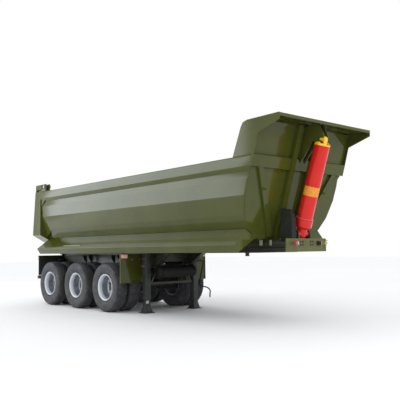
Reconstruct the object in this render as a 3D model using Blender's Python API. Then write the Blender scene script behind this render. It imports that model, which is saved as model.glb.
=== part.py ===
"""Dump semi-trailer with a folded steel tub, three twin-tyred axles and a front telescopic cylinder.

Metres. X points forward (kingpin end), Y to the trailer's left, Z up. The origin is on the ground,
below the middle of the overall length. Names that end in AHEAD are distances ahead of the rear axle.
"""

import math

import bmesh
import bpy
from mathutils import Matrix, Vector

# Clearances
SEAT = 0.0003
OVERRUN = 0.02
SINK = 0.006
SHEET_STEP = 0.003

# Overall
HALF_WIDTH = 1.25
VISOR_TIP_AHEAD = 7.848
TAIL_BEHIND = 0.965
REAR_AXLE_X = (TAIL_BEHIND - VISOR_TIP_AHEAD) / 2

# Tyres and wheels
AXLE_COUNT = 3
AXLE_SPACING = 1.31
TYRE_RADIUS = 0.542
TYRE_HALF_WIDTH = 0.146
OUTER_TYRE_Y = 1.095
TWIN_SPACING = 0.350
RIM_SEAT_RADIUS = 0.272
RIM_BORE_RADIUS = 0.262
FLANGE_RADIUS = 0.2985
BEAD_HALF_WIDTH = 0.090
RIM_HALF_WIDTH = 0.117
DISC_Y = 0.935
HUB_RADIUS = 0.105
HUB_END_Y = 1.075
DRUM_RADIUS = 0.212
DRUM_END_Y = 0.650
SPINDLE_RADIUS = 0.0777
SPINDLE_END_Y = 0.980
SPINDLE_BORE_END_Y = 1.000
WHEEL_SEGMENTS = 20
TYRE_WALL_SHARES = ((0.25, 0.96), (0.58, 1.0), (0.89, 0.88), (1.0, 0.63))
HUB_CAP_SHARE = 0.76
DISC_FOOT_SHARE = 0.77
DISH_RISE = 0.054

# Axles and springs
AXLE_RADIUS = 0.075
AXLE_TUBE_END_Y = 0.600
BACKPLATE_RADIUS = 0.200
BACKPLATE_THICKNESS = 0.012
BACKPLATE_GAP = 0.010
SPRING_Y = 0.480
SPRING_WIDTH = 0.090
SPRING_SEAT_RISE = 0.100
SPRING_HALF_LENGTH = 0.520
SPRING_THICKNESS = 0.072
SPRING_END_THICKNESS = 0.020
SPRING_CAMBER = 0.060
HANGER_WIDTH = 0.110
HANGER_TOP_LENGTH = 0.240
HANGER_FOOT_LENGTH = 0.120
HANGER_FOOT_Z = 0.800
ROCKER_GRIP = 0.055
ROCKER_HEIGHT = 0.080

# Brake gear behind each axle
CHAMBER_RADIUS = 0.080
CHAMBER_LENGTH = 0.140
CHAMBER_Y = 0.290
CHAMBER_RISE = 0.050
CHAMBER_PLATE = 0.012
CHAMBER_PLATE_HALF = 0.060
CHAMBER_BEHIND = 0.150
CAM_BEHIND = 0.110
CAM_DROP = 0.075
CAM_RADIUS = 0.016
LEVER_HALF = 0.018
BRAKE_RIB_Y = 0.335
CHAMBER_SEGMENTS = 10

# Chassis
FRAME_TOP = 1.440
FRAME_DEEP_BOTTOM = 1.020
FRAME_NECK_BOTTOM = 1.283
FRAME_FRONT_AHEAD = 7.292
FRAME_REAR_BEHIND = SPRING_HALF_LENGTH + HANGER_TOP_LENGTH / 2 + OVERRUN
BEAM_Y = 0.480
BEAM_WIDTH = 0.125
BEAM_WEB = 0.012
BEAM_FLANGE = 0.014
CROSSMEMBER_LENGTH = 0.080
CROSSMEMBER_HEIGHT = 0.110
FRONT_PLATE_HALF_WIDTH = 0.5435
FRONT_PLATE_THICKNESS = 0.012
FRONT_PLATE_TOP = 1.515
COUPLER_PLATE_THICKNESS = 0.010
COUPLER_PLATE_REAR_AHEAD = 5.250
COUPLER_PLATE_FRONT_AHEAD = 6.650
KINGPIN_AHEAD = 5.841
KINGPIN_REACH = 0.500
KINGPIN_RADIUS = 0.0445
KINGPIN_NECK_RADIUS = 0.0355
KINGPIN_LENGTH = 0.068
KINGPIN_HEAD = 0.020
FITTING_RADIUS = 0.030
FITTING_DEPTH = 0.060
FITTING_RISE = 0.013
FITTING_Y_SHARES = (-0.60, 0.60, 0.86)

# Tipping hinge
HINGE_SHAFT_RADIUS = 0.040
HINGE_AHEAD = HINGE_SHAFT_RADIUS - FRAME_REAR_BEHIND
HINGE_Z = 1.330
HINGE_SHAFT_HALF_LENGTH = 0.610
LUG_RADIUS = 0.070
LUG_Y = 0.576
LUG_THICKNESS = 0.040
FRAME_TAIL_TOP_Z = 1.420
FRAME_TAIL_CHAMFER_AHEAD = HINGE_AHEAD + OVERRUN

# Guard panels ahead of the wheels, with their position lamps
GUARD_TYRE_GAP = 0.038
GUARD_AHEAD = (AXLE_COUNT - 1) * AXLE_SPACING + TYRE_RADIUS + GUARD_TYRE_GAP
GUARD_INNER_Y = 0.600
GUARD_OUTER_Y = 1.200
GUARD_BOTTOM = 0.650
GUARD_TOP = 1.265
GUARD_PLATE = 0.008
GUARD_FOLD = 0.030
GUARD_ARM = 0.055
GUARD_ARM_Z = 1.120

# Landing gear, and the main beams' slope up to the neck ahead of it
LEG_GUARD_GAP = 0.230
LEG_AHEAD = GUARD_AHEAD + LEG_GUARD_GAP
LEG_SLOPE_GAP = 0.170
DEEP_END_AHEAD = LEG_AHEAD + LEG_SLOPE_GAP
NECK_SLOPE_LENGTH = 0.450
NECK_START_AHEAD = DEEP_END_AHEAD + NECK_SLOPE_LENGTH
LEG_Y = 0.669
LEG_HALF = 0.068
LEG_TOP = 1.330
LEG_TUBE_BOTTOM = 0.300
LEG_INNER_HALF = 0.056
FOOT_TOP = 0.165
FOOT_PLATE = 0.020
FOOT_HALF = 0.130
LEG_BRACKET_BOTTOM = 1.050
LEG_BRACKET_TOP = 1.300
BRACE_BAR = 0.045
BRACE_LOW_Z = 0.600
BRACE_HIGH_Z = 1.080
BRACE_HIGH_HALF = 0.330
CROSS_SHAFT_RADIUS = 0.015
CROSS_SHAFT_OFFSET = 0.030
CROSS_SHAFT_Z = 0.985
CRANK_RADIUS = 0.012
CRANK_REACH = 0.445
CRANK_OUT_SHARES = (0, 0.48, 0.545, 0.28, 0.33, 0.72, 0.90, 0.98, 1.0)
CRANK_DOWN_SHARES = (0, 0, 0.05, 1.04, 1.10, 1.21, 1.29, 1.40, 1.58)

# Air tank under the main beams, just ahead of the legs
TANK_SLOPE_OVERLAP = 0.040
TANK_AHEAD = DEEP_END_AHEAD + TANK_SLOPE_OVERLAP
TANK_Z = 0.875
TANK_RADIUS = 0.120
TANK_HALF_LENGTH = 0.520
TANK_DOME_DEPTH = 0.050
TANK_DOME_RADIUS_SHARE = 0.6
TANK_HANGER_LENGTH = 0.067
TANK_HANGER_WIDTH = 0.040

# Rear bumper, light bar, mudflaps
LIGHT_BAR_DEPTH = 0.060
LIGHT_BAR_BOTTOM = 1.120
LIGHT_BAR_TOP = 1.240
REAR_BAR_HALF_WIDTH = GUARD_OUTER_Y
BUMPER_BOTTOM = 0.640
BUMPER_TOP = 0.720
BUMPER_DEPTH = 0.080
FLAP_INNER_Y = 0.620
FLAP_THICKNESS = 0.012
FLAP_BOTTOM = 0.730
LAMP_DEPTH = 0.035
LAMP_WIDTH = 0.240
LAMP_HEIGHT = 0.085

# Dump body
PLATE = 0.010
RAIL_TOP = 2.906
RAIL_HEIGHT = 0.180
RAIL_WIDTH = 0.100
TUB_TOP = 2.649
TUB_BOTTOM = 1.512
WALL_FOOT_AHEAD = 6.760
FRONT_LEAN = 0.322
SECTION_HALF_WIDTH_SHARES = (0.9624, 0.9744, 0.968, 0.896, 0.767, 0.6264, 0.512)
SECTION_HEIGHT_SHARES = (1.0, 0.8874, 0.6473, 0.3588, 0.1522, 0.0651, 0.0)
SIDE_FOOT_SHARE = 0.25
SKIRT_CREASE_Z = 1.417
SKIRT_LIP_Z = 1.286
SKIRT_LIP_WIDTH_SHARE = 0.932
SKIRT_LIP_Y = SKIRT_LIP_WIDTH_SHARE * HALF_WIDTH
SKIRT_TOP_Z = 1.690
SKIRT_TOP_WIDTH_SHARE = 0.7776
SKIRT_TOP_Y = SKIRT_TOP_WIDTH_SHARE * HALF_WIDTH
SKIRT_FRONT_AHEAD = 6.780
SKIRT_REAR_BEHIND = 0.684
SKIRT_GUSSETS = 5
RUNNER_WIDTH = 0.090
RUNNER_FRONT_AHEAD = 6.700
RUNNER_CROSSBARS = 6

# Front frame, canopy and cylinder bracket
BEAM_DEPTH = 0.065
FRONT_BEAM_HEIGHT = 0.193
CHANNEL_INNER_Y = 0.185
CHANNEL_OUTER_Y = 0.290
CHANNEL_DEPTH = 0.090
BRACE_DEPTH = 0.050
BRACE_WIDTH = 0.110
BRACE_TOP_Y = 1.040
BRACE_FOOT_Y = 0.400
BRACE_FOOT_Z = 1.550
VISOR_TOP_Z = 3.500
VISOR_UNDERSIDE_Z = 3.478
VISOR_LIP = 0.055
WING_BASE_REAR_AHEAD = 6.774
WING_PLATE = 0.012
WING_SHOULDER_AHEAD = 6.985
WING_SHOULDER_Z = 3.400
WING_BEND_AHEAD = 7.130
WING_KINK_AHEAD = 7.370
WING_KINK_Z = 3.235
WING_LIP_Z = 3.385

# Rear frame and tailgate
FRAME_FACE_BEHIND = 0.500
TAIL_SLOPE = 0.119
TAILGATE_THICKNESS = 0.085
TAILGATE_BOTTOM = 1.485
TAILGATE_SKIN = 0.025
FRAME_FOOT_WIDTH_SHARE = 0.512
FRAME_FOOT_Y = FRAME_FOOT_WIDTH_SHARE * HALF_WIDTH
FRAME_KNEE_WIDTH_SHARE = 0.744
FRAME_KNEE_Y = FRAME_KNEE_WIDTH_SHARE * HALF_WIDTH
FRAME_KNEE_Z = 1.600
FRAME_SHOULDER_Z = 1.776
TAIL_HINGE_AHEAD = -0.330
TAIL_HINGE_Z = 3.030
TAIL_PIN_RADIUS = 0.025
EAR_FRONT_AHEAD = -0.235
EAR_REAR_AHEAD = -0.395
EAR_TOP = 3.090
EAR_PLATE = 0.038
ARM_THICKNESS = 0.055
ARM_RADIUS = 0.055
TAIL_BLOCK_FRONT_AHEAD = -0.450
TAIL_BLOCK_BOTTOM = 2.965
RIB_WIDTH = 0.060
POCKET_COLUMNS = 4
POCKET_ROWS = 3

# Telescopic cylinder
TRUNNION_AHEAD = 7.190
TRUNNION_Z = 1.600
EYE_AHEAD = 7.740
EYE_Z = 3.205
COVER_RADIUS = 0.137
COVER_WALL = 0.008
COVER_START = 0.272
COVER_END = 1.590
COVER_RING_RADIUS = 0.150
COVER_RING_HEIGHT = 0.012
CYLINDER_ROOF = 0.015
STAGE_COUNT = 4
STAGE_WALL = 0.010
STAGE_GAP = 0.002
BASE_TUBE_RADIUS = 0.122
BASE_RADIUS = 0.090
BASE_DROP = 0.100
COLLAR_RADIUS = 0.152
COLLAR_START = 0.100
COLLAR_BEND = 0.140
CYLINDER_FLOOR = 0.200
TRUNNION_RADIUS = 0.040
TRUNNION_HALF_LENGTH = 0.182
CHEEK_Y = 0.158
CHEEK_THICKNESS = 0.035
CHEEK_RADIUS = 0.078
CRADLE_PLATE = 0.020
CRADLE_REAR_AHEAD = 6.960
CRADLE_FRONT_AHEAD = 7.285
CAP_RADIUS = 0.140
CAP_THICKNESS = 0.024
CAP_EAR_Y = 0.115
CAP_EAR_WIDTH = 0.036
CAP_EAR_LENGTH = 0.050
CAP_EAR_RISE = 0.055
EYE_RADIUS = 0.060
EYE_HALF_WIDTH = 0.040
EYE_PIN_RADIUS = 0.025
EYE_PIN_HALF_LENGTH = 0.095
BRACKET_PLATE = 0.020
BRACKET_INNER_Y = 0.052
BRACKET_SLOT = 0.030
JAW_RISE_SHARE = 0.21
JAW_FALL_SHARE = 0.56
ROUND_SEGMENTS = 16
SHAFT_SEGMENTS = 6

# Guard of the cylinder's hose, on the cradle's right side
HOSE_GUARD_INNER_Y = 0.240
HOSE_GUARD_OUTER_Y = 0.360
HOSE_GUARD_REAR_AHEAD = 7.030
HOSE_GUARD_ROOF = 0.060
HOSE_GUARD_TOP = 2.040
HOSE_GUARD_WALL = 0.006

COLOURS = {
    "olive_paint": ((0.125, 0.135, 0.045), 0.30, 0.0),
    "chassis_paint": ((0.075, 0.080, 0.035), 0.42, 0.0),
    "tyre_rubber": ((0.018, 0.018, 0.019), 0.85, 0.0),
    "wheel_silver": ((0.55, 0.56, 0.58), 0.35, 0.6),
    "cast_steel": ((0.06, 0.06, 0.06), 0.55, 0.5),
    "cylinder_red": ((0.62, 0.02, 0.02), 0.25, 0.0),
    "cap_yellow": ((0.75, 0.50, 0.02), 0.35, 0.0),
    "polished_steel": ((0.60, 0.60, 0.60), 0.18, 1.0),
    "lamp_red": ((0.60, 0.02, 0.02), 0.15, 0.0),
    "coupling_red": ((0.60, 0.04, 0.03), 0.40, 0.0),
    "black_plastic": ((0.03, 0.03, 0.03), 0.50, 0.0),
}


def clear_scene():
    """Removes whatever objects the new file starts with."""
    for item in list(bpy.data.objects):
        bpy.data.objects.remove(item, do_unlink=True)


def material(finish):
    """The Principled material of one finish, made once."""
    found = bpy.data.materials.get(finish)
    if found:
        return found
    colour, roughness, metallic = COLOURS[finish]
    made = bpy.data.materials.new(finish)
    made.use_nodes = True
    made.diffuse_color = (*colour, 1.0)
    shader = made.node_tree.nodes["Principled BSDF"]
    shader.inputs["Base Color"].default_value = (*colour, 1.0)
    shader.inputs["Roughness"].default_value = roughness
    shader.inputs["Metallic"].default_value = metallic
    return made


def ahead(distance):
    """World X of a place so far ahead of the rear axle."""
    return REAR_AXLE_X + distance


def ordinate(value, point):
    """A plain number, or the number that a rule gives at an outline point."""
    return value(point) if callable(value) else value


def prism(outline, axis, low, high):
    """A mesh swept along an axis from a closed outline; low and high may be rules of the point."""
    bm = bmesh.new()
    rings = []
    for end in (low, high):
        ring = []
        for point in outline:
            along = ordinate(end, point)
            place = {
                "x": (along, point[0], point[1]),
                "y": (point[0], along, point[1]),
                "z": (point[0], point[1], along),
            }[axis]
            ring.append(bm.verts.new(place))
        rings.append(ring)
    bm.faces.new(rings[0])
    bm.faces.new(rings[1])
    for index, start in enumerate(rings[0]):
        after = (index + 1) % len(outline)
        bm.faces.new((start, rings[0][after], rings[1][after], rings[1][index]))
    bmesh.ops.recalc_face_normals(bm, faces=bm.faces)
    return bm


def folded_sheet(outer, inner, low, high):
    """A folded sheet along X between two open (y, z) lines, with a quad for each fold at both ends."""
    bm = bmesh.new()
    rings = []
    for end in (low, high):
        for line in (outer, inner):
            rings.append([bm.verts.new((ordinate(end, point), *point)) for point in line])
    outer_low, inner_low, outer_high, inner_high = rings
    for i in range(len(outer) - 1):
        bm.faces.new((outer_low[i], outer_low[i + 1], inner_low[i + 1], inner_low[i]))
        bm.faces.new((outer_high[i], outer_high[i + 1], inner_high[i + 1], inner_high[i]))
        bm.faces.new((outer_low[i], outer_low[i + 1], outer_high[i + 1], outer_high[i]))
        bm.faces.new((inner_low[i], inner_low[i + 1], inner_high[i + 1], inner_high[i]))
    for i in (0, -1):
        bm.faces.new((outer_low[i], inner_low[i], inner_high[i], outer_high[i]))
    bmesh.ops.recalc_face_normals(bm, faces=bm.faces)
    return bm


def arc(centre, radius, first, last, step=30):
    """Points of an arc about a centre, from one angle in degrees to another."""
    angles = [math.radians(turn) for turn in range(first, last + 1, step)]
    return [(centre[0] + radius * math.cos(angle), centre[1] + radius * math.sin(angle)) for angle in angles]


def block(low, high):
    """A box between two corners."""
    outline = [(low[0], low[1]), (high[0], low[1]), (high[0], high[1]), (low[0], high[1])]
    return prism(outline, "z", low[2], high[2])


def turned(profile, centre, direction, segments=ROUND_SEGMENTS, phase_share=0.5):
    """A closed profile of (radius, along) points turned about an axis, with a flat facet below."""
    bm = bmesh.new()
    verts = [bm.verts.new((radius, 0.0, along)) for radius, along in profile]
    edges = [bm.edges.new((verts[i], verts[(i + 1) % len(verts)])) for i in range(len(verts))]
    bmesh.ops.spin(bm, geom=verts + edges, cent=(0, 0, 0), axis=(0, 0, 1), angle=2 * math.pi,
                   steps=segments, use_merge=True)
    bmesh.ops.remove_doubles(bm, verts=bm.verts, dist=SEAT / 10)
    bmesh.ops.delete(bm, geom=[edge for edge in bm.edges if not edge.link_faces], context="EDGES")
    bmesh.ops.recalc_face_normals(bm, faces=bm.faces)
    z_axis = Vector(direction).normalized()
    side = Vector((0, 0, 1)) if abs(z_axis.y) > abs(z_axis.z) else Vector((0, 1, 0))
    x_axis = side.cross(z_axis).normalized()
    y_axis = z_axis.cross(x_axis)
    turn = Matrix((x_axis, y_axis, z_axis)).transposed().to_4x4()
    spin = Matrix.Rotation(2 * math.pi * phase_share / segments, 4, "Z")
    bm.transform(Matrix.Translation(Vector(centre)) @ turn @ spin)
    return bm


def rod(start, end, radius, segments=ROUND_SEGMENTS):
    """A solid round bar between two points."""
    run = Vector(end) - Vector(start)
    profile = [(0, 0), (radius, 0), (radius, run.length), (0, run.length)]
    return turned(profile, start, run, segments)


def bore(start, end, radius, segments=ROUND_SEGMENTS):
    """A cutter for a pin of that radius: its flats face the pin's corners and clear them by a seat."""
    run = Vector(end) - Vector(start)
    wide = (radius + SEAT) / math.cos(math.pi / segments)
    profile = [(0, 0), (wide, 0), (wide, run.length), (0, run.length)]
    return turned(profile, start, run, segments, 0)


def to_mesh(bm, name):
    """Turns a bmesh into mesh data and frees it."""
    mesh = bpy.data.meshes.new(name)
    bm.to_mesh(mesh)
    bm.free()
    return mesh


def combined(name, solids, cutters):
    """Joins the solids and takes the cutters away, with exact Booleans."""
    first = bpy.data.objects.new(name + "_work", to_mesh(solids[0], name))
    bpy.context.collection.objects.link(first)
    helpers = [first]
    steps = [(bm, "UNION") for bm in solids[1:]] + [(bm, "DIFFERENCE") for bm in cutters]
    for bm, operation in steps:
        helper = bpy.data.objects.new(name + "_step", to_mesh(bm, name))
        bpy.context.collection.objects.link(helper)
        helpers.append(helper)
        step = first.modifiers.new("step", "BOOLEAN")
        step.operation = operation
        step.solver = "EXACT"
        step.object = helper
    graph = bpy.context.evaluated_depsgraph_get()
    mesh = bpy.data.meshes.new_from_object(first.evaluated_get(graph))
    for helper in helpers:
        bpy.data.objects.remove(helper, do_unlink=True)
    return mesh


def node(name, solids, finish, cutters=(), pivot=None, smooth=False):
    """Makes one named object; a moving piece's origin lies on its joint's axis."""
    mesh = combined(name, solids, list(cutters)) if len(solids) > 1 or cutters else to_mesh(solids[0], name)
    mesh.name = name
    mesh.materials.clear()
    mesh.materials.append(material(finish))
    if smooth:
        mesh.shade_smooth()
        mesh.set_sharp_from_angle(angle=math.radians(30))
    made = bpy.data.objects.new(name, mesh)
    bpy.context.collection.objects.link(made)
    if pivot:
        mesh.transform(Matrix.Translation(-Vector(pivot)))
        made.location = pivot
    return made


def mirrored_outline(points):
    """A half outline of (y, z) points with y above zero, closed by its mirror image."""
    return list(points) + [(-y, z) for y, z in reversed(points)]


def offset_inward(points, distance):
    """The open line of points moved sideways by a distance, to the left of its run, with mitred bends."""
    moved = []
    for index, point in enumerate(points):
        normals = []
        for start, end in ((index - 1, index), (index, index + 1)):
            if start < 0 or end >= len(points):
                continue
            run = Vector(points[end]) - Vector(points[start])
            run.normalize()
            normals.append(Vector((run.y, -run.x)))
        normal = sum(normals, Vector((0, 0)))
        normal.normalize()
        moved.append(tuple(Vector(point) + normal * (distance / normal.dot(normals[0]))))
    return moved


def between(start, end, share):
    """The point at a share of the way from one point to another."""
    return tuple(Vector(start) * (1 - share) + Vector(end) * share)


def tub_section():
    """Outer crease points of one half of the tub, from the top rail down to the flat floor."""
    depth = TUB_TOP - TUB_BOTTOM
    return [
        (wide * HALF_WIDTH, TUB_BOTTOM + high * depth)
        for wide, high in zip(SECTION_HALF_WIDTH_SHARES, SECTION_HEIGHT_SHARES)
    ]


def wall_x(z):
    """World X of the front wall's outer face at a height: the wall leans forward."""
    return ahead(WALL_FOOT_AHEAD) + FRONT_LEAN * (z - TUB_BOTTOM)


def tail_x(z):
    """World X of the tailgate's rear face at a height: its foot stands further back."""
    return ahead(-TAIL_BEHIND) + TAIL_SLOPE * (z - TAILGATE_BOTTOM)


def tipping_axis():
    """A point on the axis about which the dump body tips."""
    return (ahead(HINGE_AHEAD), 0, HINGE_Z)


def sides():
    """The two sides, each with its name and the sign of its Y."""
    return (("right", -1), ("left", 1))


def flipped(outline, sign):
    """An outline of (y, z) points on the side that the sign gives."""
    return [(y * sign, z) for y, z in outline]


def build_tub():
    """The folded sheets of the load space: a floor and two sides that butt below the skirts' tops."""
    outer = tub_section()
    inner = offset_inward(outer, PLATE)
    front = lambda point: wall_x(point[1]) - PLATE - SEAT
    rear = ahead(-FRAME_FACE_BEHIND) + SEAT
    split_outer = between(outer[4], outer[5], SIDE_FOOT_SHARE)
    split_inner = between(inner[4], inner[5], SIDE_FOOT_SHARE)
    run = Vector(outer[5]) - Vector(outer[4])
    run.normalize()
    gap = run * SEAT
    low_outer = tuple(Vector(split_outer) + gap)
    low_inner = tuple(Vector(split_inner) + gap)
    top_drop = TUB_TOP - SEAT
    side_outer = [(outer[0][0], top_drop)] + outer[1:5] + [split_outer]
    side_inner = [(inner[0][0], top_drop)] + inner[1:5] + [split_inner]
    for side, sign in sides():
        outline = side_outer + side_inner[::-1]
        node("tub_side_" + side, [prism(flipped(outline, sign), "x", rear, front)], "olive_paint",
             pivot=tipping_axis())
    floor_outer = mirrored_outline([low_outer, outer[5], outer[6]])
    floor_inner = mirrored_outline([low_inner, inner[5], inner[6]])
    node("tub_floor", [prism(floor_outer + floor_inner[::-1], "x", rear, front)], "olive_paint",
         pivot=tipping_axis())


def build_rails():
    """The top rails: a box rail with a sloped foot that meets the side sheet."""
    half_section = [
        (HALF_WIDTH, RAIL_TOP),
        (HALF_WIDTH, RAIL_TOP - RAIL_HEIGHT),
        (tub_section()[0][0], TUB_TOP),
        (HALF_WIDTH - RAIL_WIDTH, TUB_TOP),
        (HALF_WIDTH - RAIL_WIDTH, RAIL_TOP),
    ]
    front = lambda point: wall_x(point[1])
    rear = ahead(-FRAME_FACE_BEHIND) + SEAT
    for side, sign in sides():
        node("top_rail_" + side, [prism(flipped(half_section, sign), "x", rear, front)], "olive_paint",
             pivot=tipping_axis())


def build_front_wall():
    """The leaning front sheet: it closes the tub and rises between the rails and wings to the visor."""
    outer = tub_section()
    between_rails = HALF_WIDTH - RAIL_WIDTH - SEAT
    between_wings = HALF_WIDTH - WING_PLATE - SEAT
    half = [
        (between_wings, VISOR_UNDERSIDE_Z - SEAT - SHEET_STEP),
        (between_wings, RAIL_TOP + SEAT),
        (between_rails, RAIL_TOP + SEAT),
        (between_rails, TUB_TOP - SEAT),
        (outer[0][0], TUB_TOP - SEAT),
    ] + outer[1:]
    low = lambda point: wall_x(point[1]) - PLATE
    high = lambda point: wall_x(point[1])
    node("front_wall", [prism(mirrored_outline(half), "x", low, high)], "olive_paint", pivot=tipping_axis())


def leaning(outline, depth, seat=SEAT):
    """A profile that stands on the leaning front wall with a given depth."""
    low = lambda point: wall_x(point[1]) + seat
    high = lambda point: wall_x(point[1]) + depth
    return prism(outline, "x", low, high)


def rectangle(first, second):
    """Corner points of an upright rectangle."""
    return [(first[0], first[1]), (second[0], first[1]), (second[0], second[1]), (first[0], second[1])]


def bracket_outline():
    """Side view of the cylinder bracket: a jaw that holds the eye's pin and a gusset behind the cover."""
    eye = (ahead(EYE_AHEAD), EYE_Z)
    jaw_reach = EYE_RADIUS
    root_drop = EYE_Z - RAIL_TOP
    back = [
        (eye[0] + BRACKET_SLOT * math.cos(angle), eye[1] + BRACKET_SLOT * math.sin(angle))
        for angle in (math.pi / 2, 3 * math.pi / 4, math.pi, 5 * math.pi / 4, 3 * math.pi / 2)
    ]
    top = VISOR_UNDERSIDE_Z - SEAT - SHEET_STEP
    cap_slope = (EYE_AHEAD - TRUNNION_AHEAD) / (EYE_Z - TRUNNION_Z)
    cap_drop = EYE_RADIUS + SINK
    heel = BRACKET_SLOT + EYE_PIN_RADIUS
    lower_reach = jaw_reach / 2
    behind = COVER_RADIUS + EYE_RADIUS
    return (
        [
            (wall_x(top) + 2 * SEAT, top),
            (eye[0] - lower_reach, top),
            (eye[0] + jaw_reach, eye[1] + 2 * BRACKET_SLOT),
            (eye[0] + jaw_reach, eye[1] + BRACKET_SLOT - JAW_RISE_SHARE * jaw_reach),
        ]
        + back
        + [
            (eye[0] + lower_reach, eye[1] - BRACKET_SLOT - JAW_FALL_SHARE * lower_reach),
            (eye[0] + lower_reach, eye[1] - cap_drop - cap_slope * lower_reach),
            (eye[0] - behind, eye[1] - cap_drop + cap_slope * behind),
            (eye[0] - behind - cap_slope * heel, eye[1] - heel),
            (wall_x(RAIL_TOP - heel) + CHANNEL_DEPTH, RAIL_TOP - heel),
            (wall_x(EYE_Z - root_drop - heel) + 2 * SEAT, EYE_Z - root_drop - heel),
        ]
    )


def build_front_frame():
    """Crossbeam, two upright channels, two slanted braces and the cylinder bracket, welded together."""
    beam = rectangle((-HALF_WIDTH, RAIL_TOP - FRONT_BEAM_HEIGHT), (HALF_WIDTH, RAIL_TOP))
    solids = [leaning(beam, BEAM_DEPTH)]
    top = VISOR_UNDERSIDE_Z - SEAT - SHEET_STEP
    foot = TUB_BOTTOM + PLATE
    for sign in (-1, 1):
        channel = rectangle((sign * CHANNEL_INNER_Y, foot), (sign * CHANNEL_OUTER_Y, top))
        solids.append(leaning(channel, CHANNEL_DEPTH, 2 * SEAT))
        half = BRACE_WIDTH / 2
        overlap_z = RAIL_TOP - FRONT_BEAM_HEIGHT / 2
        brace = [
            (sign * (BRACE_FOOT_Y - half), BRACE_FOOT_Z),
            (sign * (BRACE_FOOT_Y + half), BRACE_FOOT_Z),
            (sign * (BRACE_TOP_Y + half), overlap_z),
            (sign * (BRACE_TOP_Y - half), overlap_z),
        ]
        solids.append(leaning(brace, BRACE_DEPTH, 3 * SEAT))
        low = sign * BRACKET_INNER_Y
        high = sign * (BRACKET_INNER_Y + BRACKET_PLATE)
        solids.append(prism(bracket_outline(), "y", min(low, high), max(low, high)))
    backing_low = RAIL_TOP + BRACKET_PLATE
    reach = (CHANNEL_INNER_Y + CHANNEL_OUTER_Y) / 2
    backing = rectangle((-reach, backing_low), (reach, top - BRACKET_PLATE))
    solids.append(leaning(backing, BRACKET_PLATE, 4 * SEAT))
    node("front_frame", solids, "olive_paint", pivot=tipping_axis())


def wing_outline():
    """Side view of a canopy wing: it stands on the rail and reaches forward to the visor's tip."""
    base = RAIL_TOP + SEAT
    return [
        (ahead(WING_BASE_REAR_AHEAD), base),
        (ahead(WING_SHOULDER_AHEAD), WING_SHOULDER_Z),
        (ahead((WING_SHOULDER_AHEAD * 2 + WING_BEND_AHEAD) / 3), (WING_SHOULDER_Z + 2 * VISOR_TOP_Z) / 3),
        (ahead(WING_BEND_AHEAD), VISOR_TOP_Z - 2 * SHEET_STEP),
        (ahead(VISOR_TIP_AHEAD), VISOR_TOP_Z),
        (ahead(VISOR_TIP_AHEAD), WING_LIP_Z),
        (ahead(WING_KINK_AHEAD), WING_KINK_Z),
        (wall_x(base) + BEAM_DEPTH, base),
    ]


def build_canopy():
    """Two wings joined by the visor, whose front edge is folded down into a lip."""
    outline = wing_outline()
    solids = []
    for sign in (-1, 1):
        inner = sign * (HALF_WIDTH - WING_PLATE)
        outer = sign * HALF_WIDTH
        solids.append(prism(outline, "y", min(inner, outer), max(inner, outer)))
    upper = [(x, z - SHEET_STEP) for x, z in outline[1:5]]
    tip = upper[-1]
    tip = (tip[0] - SHEET_STEP, tip[1])
    upper[-1] = tip
    lower = offset_inward(upper, PLATE)
    visor = upper + [
        (tip[0], tip[1] - VISOR_LIP),
        (tip[0] - PLATE, tip[1] - VISOR_LIP),
        (tip[0] - PLATE, lower[-1][1]),
    ] + lower[-2::-1]
    reach = HALF_WIDTH - SHEET_STEP
    solids.append(prism(visor, "y", -reach, reach))
    node("canopy", solids, "olive_paint", pivot=tipping_axis())


def frame_outer_half():
    """Outer outline of the rear frame, which the tailgate shares, from the rail down to the foot."""
    return [
        (HALF_WIDTH, FRAME_SHOULDER_Z),
        (FRAME_KNEE_Y, FRAME_KNEE_Z),
        (FRAME_FOOT_Y, TAILGATE_BOTTOM + SHEET_STEP),
    ]


def build_rear_frame():
    """The deep rear frame around the tub's mouth, with the ears that carry the tailgate."""
    inner = offset_inward(tub_section(), PLATE)
    inner_half = [(HALF_WIDTH - RAIL_WIDTH, RAIL_TOP), (HALF_WIDTH - RAIL_WIDTH, TUB_TOP)] + inner
    outline = mirrored_outline([(HALF_WIDTH, RAIL_TOP)] + frame_outer_half())
    outline += mirrored_outline(inner_half)[::-1]
    rear = lambda point: tail_x(point[1]) + TAILGATE_THICKNESS + SEAT
    face = ahead(-FRAME_FACE_BEHIND)
    solids = [prism(outline, "x", rear, face)]
    foot_top = TAIL_BLOCK_BOTTOM - OVERRUN
    foot = [
        (ahead(EAR_FRONT_AHEAD), RAIL_TOP + SEAT),
        (ahead(EAR_FRONT_AHEAD), foot_top),
        (face - RAIL_WIDTH, foot_top),
        (face - RAIL_WIDTH, RAIL_TOP - RAIL_WIDTH / 2),
        (face - SHEET_STEP, RAIL_TOP - RAIL_WIDTH / 2),
        (face - SHEET_STEP, RAIL_TOP + SEAT),
    ]
    ear_front = ahead(EAR_FRONT_AHEAD) - SHEET_STEP
    ear = rectangle((ahead(EAR_REAR_AHEAD), foot_top - SINK), (ear_front, EAR_TOP))
    pin_centre = (ahead(TAIL_HINGE_AHEAD), TAIL_HINGE_Z)
    outer_y = HALF_WIDTH - SHEET_STEP
    inner_y = outer_y - 2 * EAR_PLATE - ARM_THICKNESS - 2 * SINK
    for sign in (-1, 1):
        solids.append(prism(foot, "y", *sorted((sign * inner_y, sign * outer_y))))
        for near, far in ((inner_y + SEAT, inner_y + EAR_PLATE), (outer_y - EAR_PLATE, outer_y - SEAT)):
            solids.append(prism(ear, "y", *sorted((sign * near, sign * far))))
        start = (pin_centre[0], sign * (inner_y + SINK), pin_centre[1])
        end = (pin_centre[0], sign * (outer_y - SINK), pin_centre[1])
        solids.append(rod(start, end, TAIL_PIN_RADIUS))
    node("rear_frame", solids, "olive_paint", pivot=tipping_axis())


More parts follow.
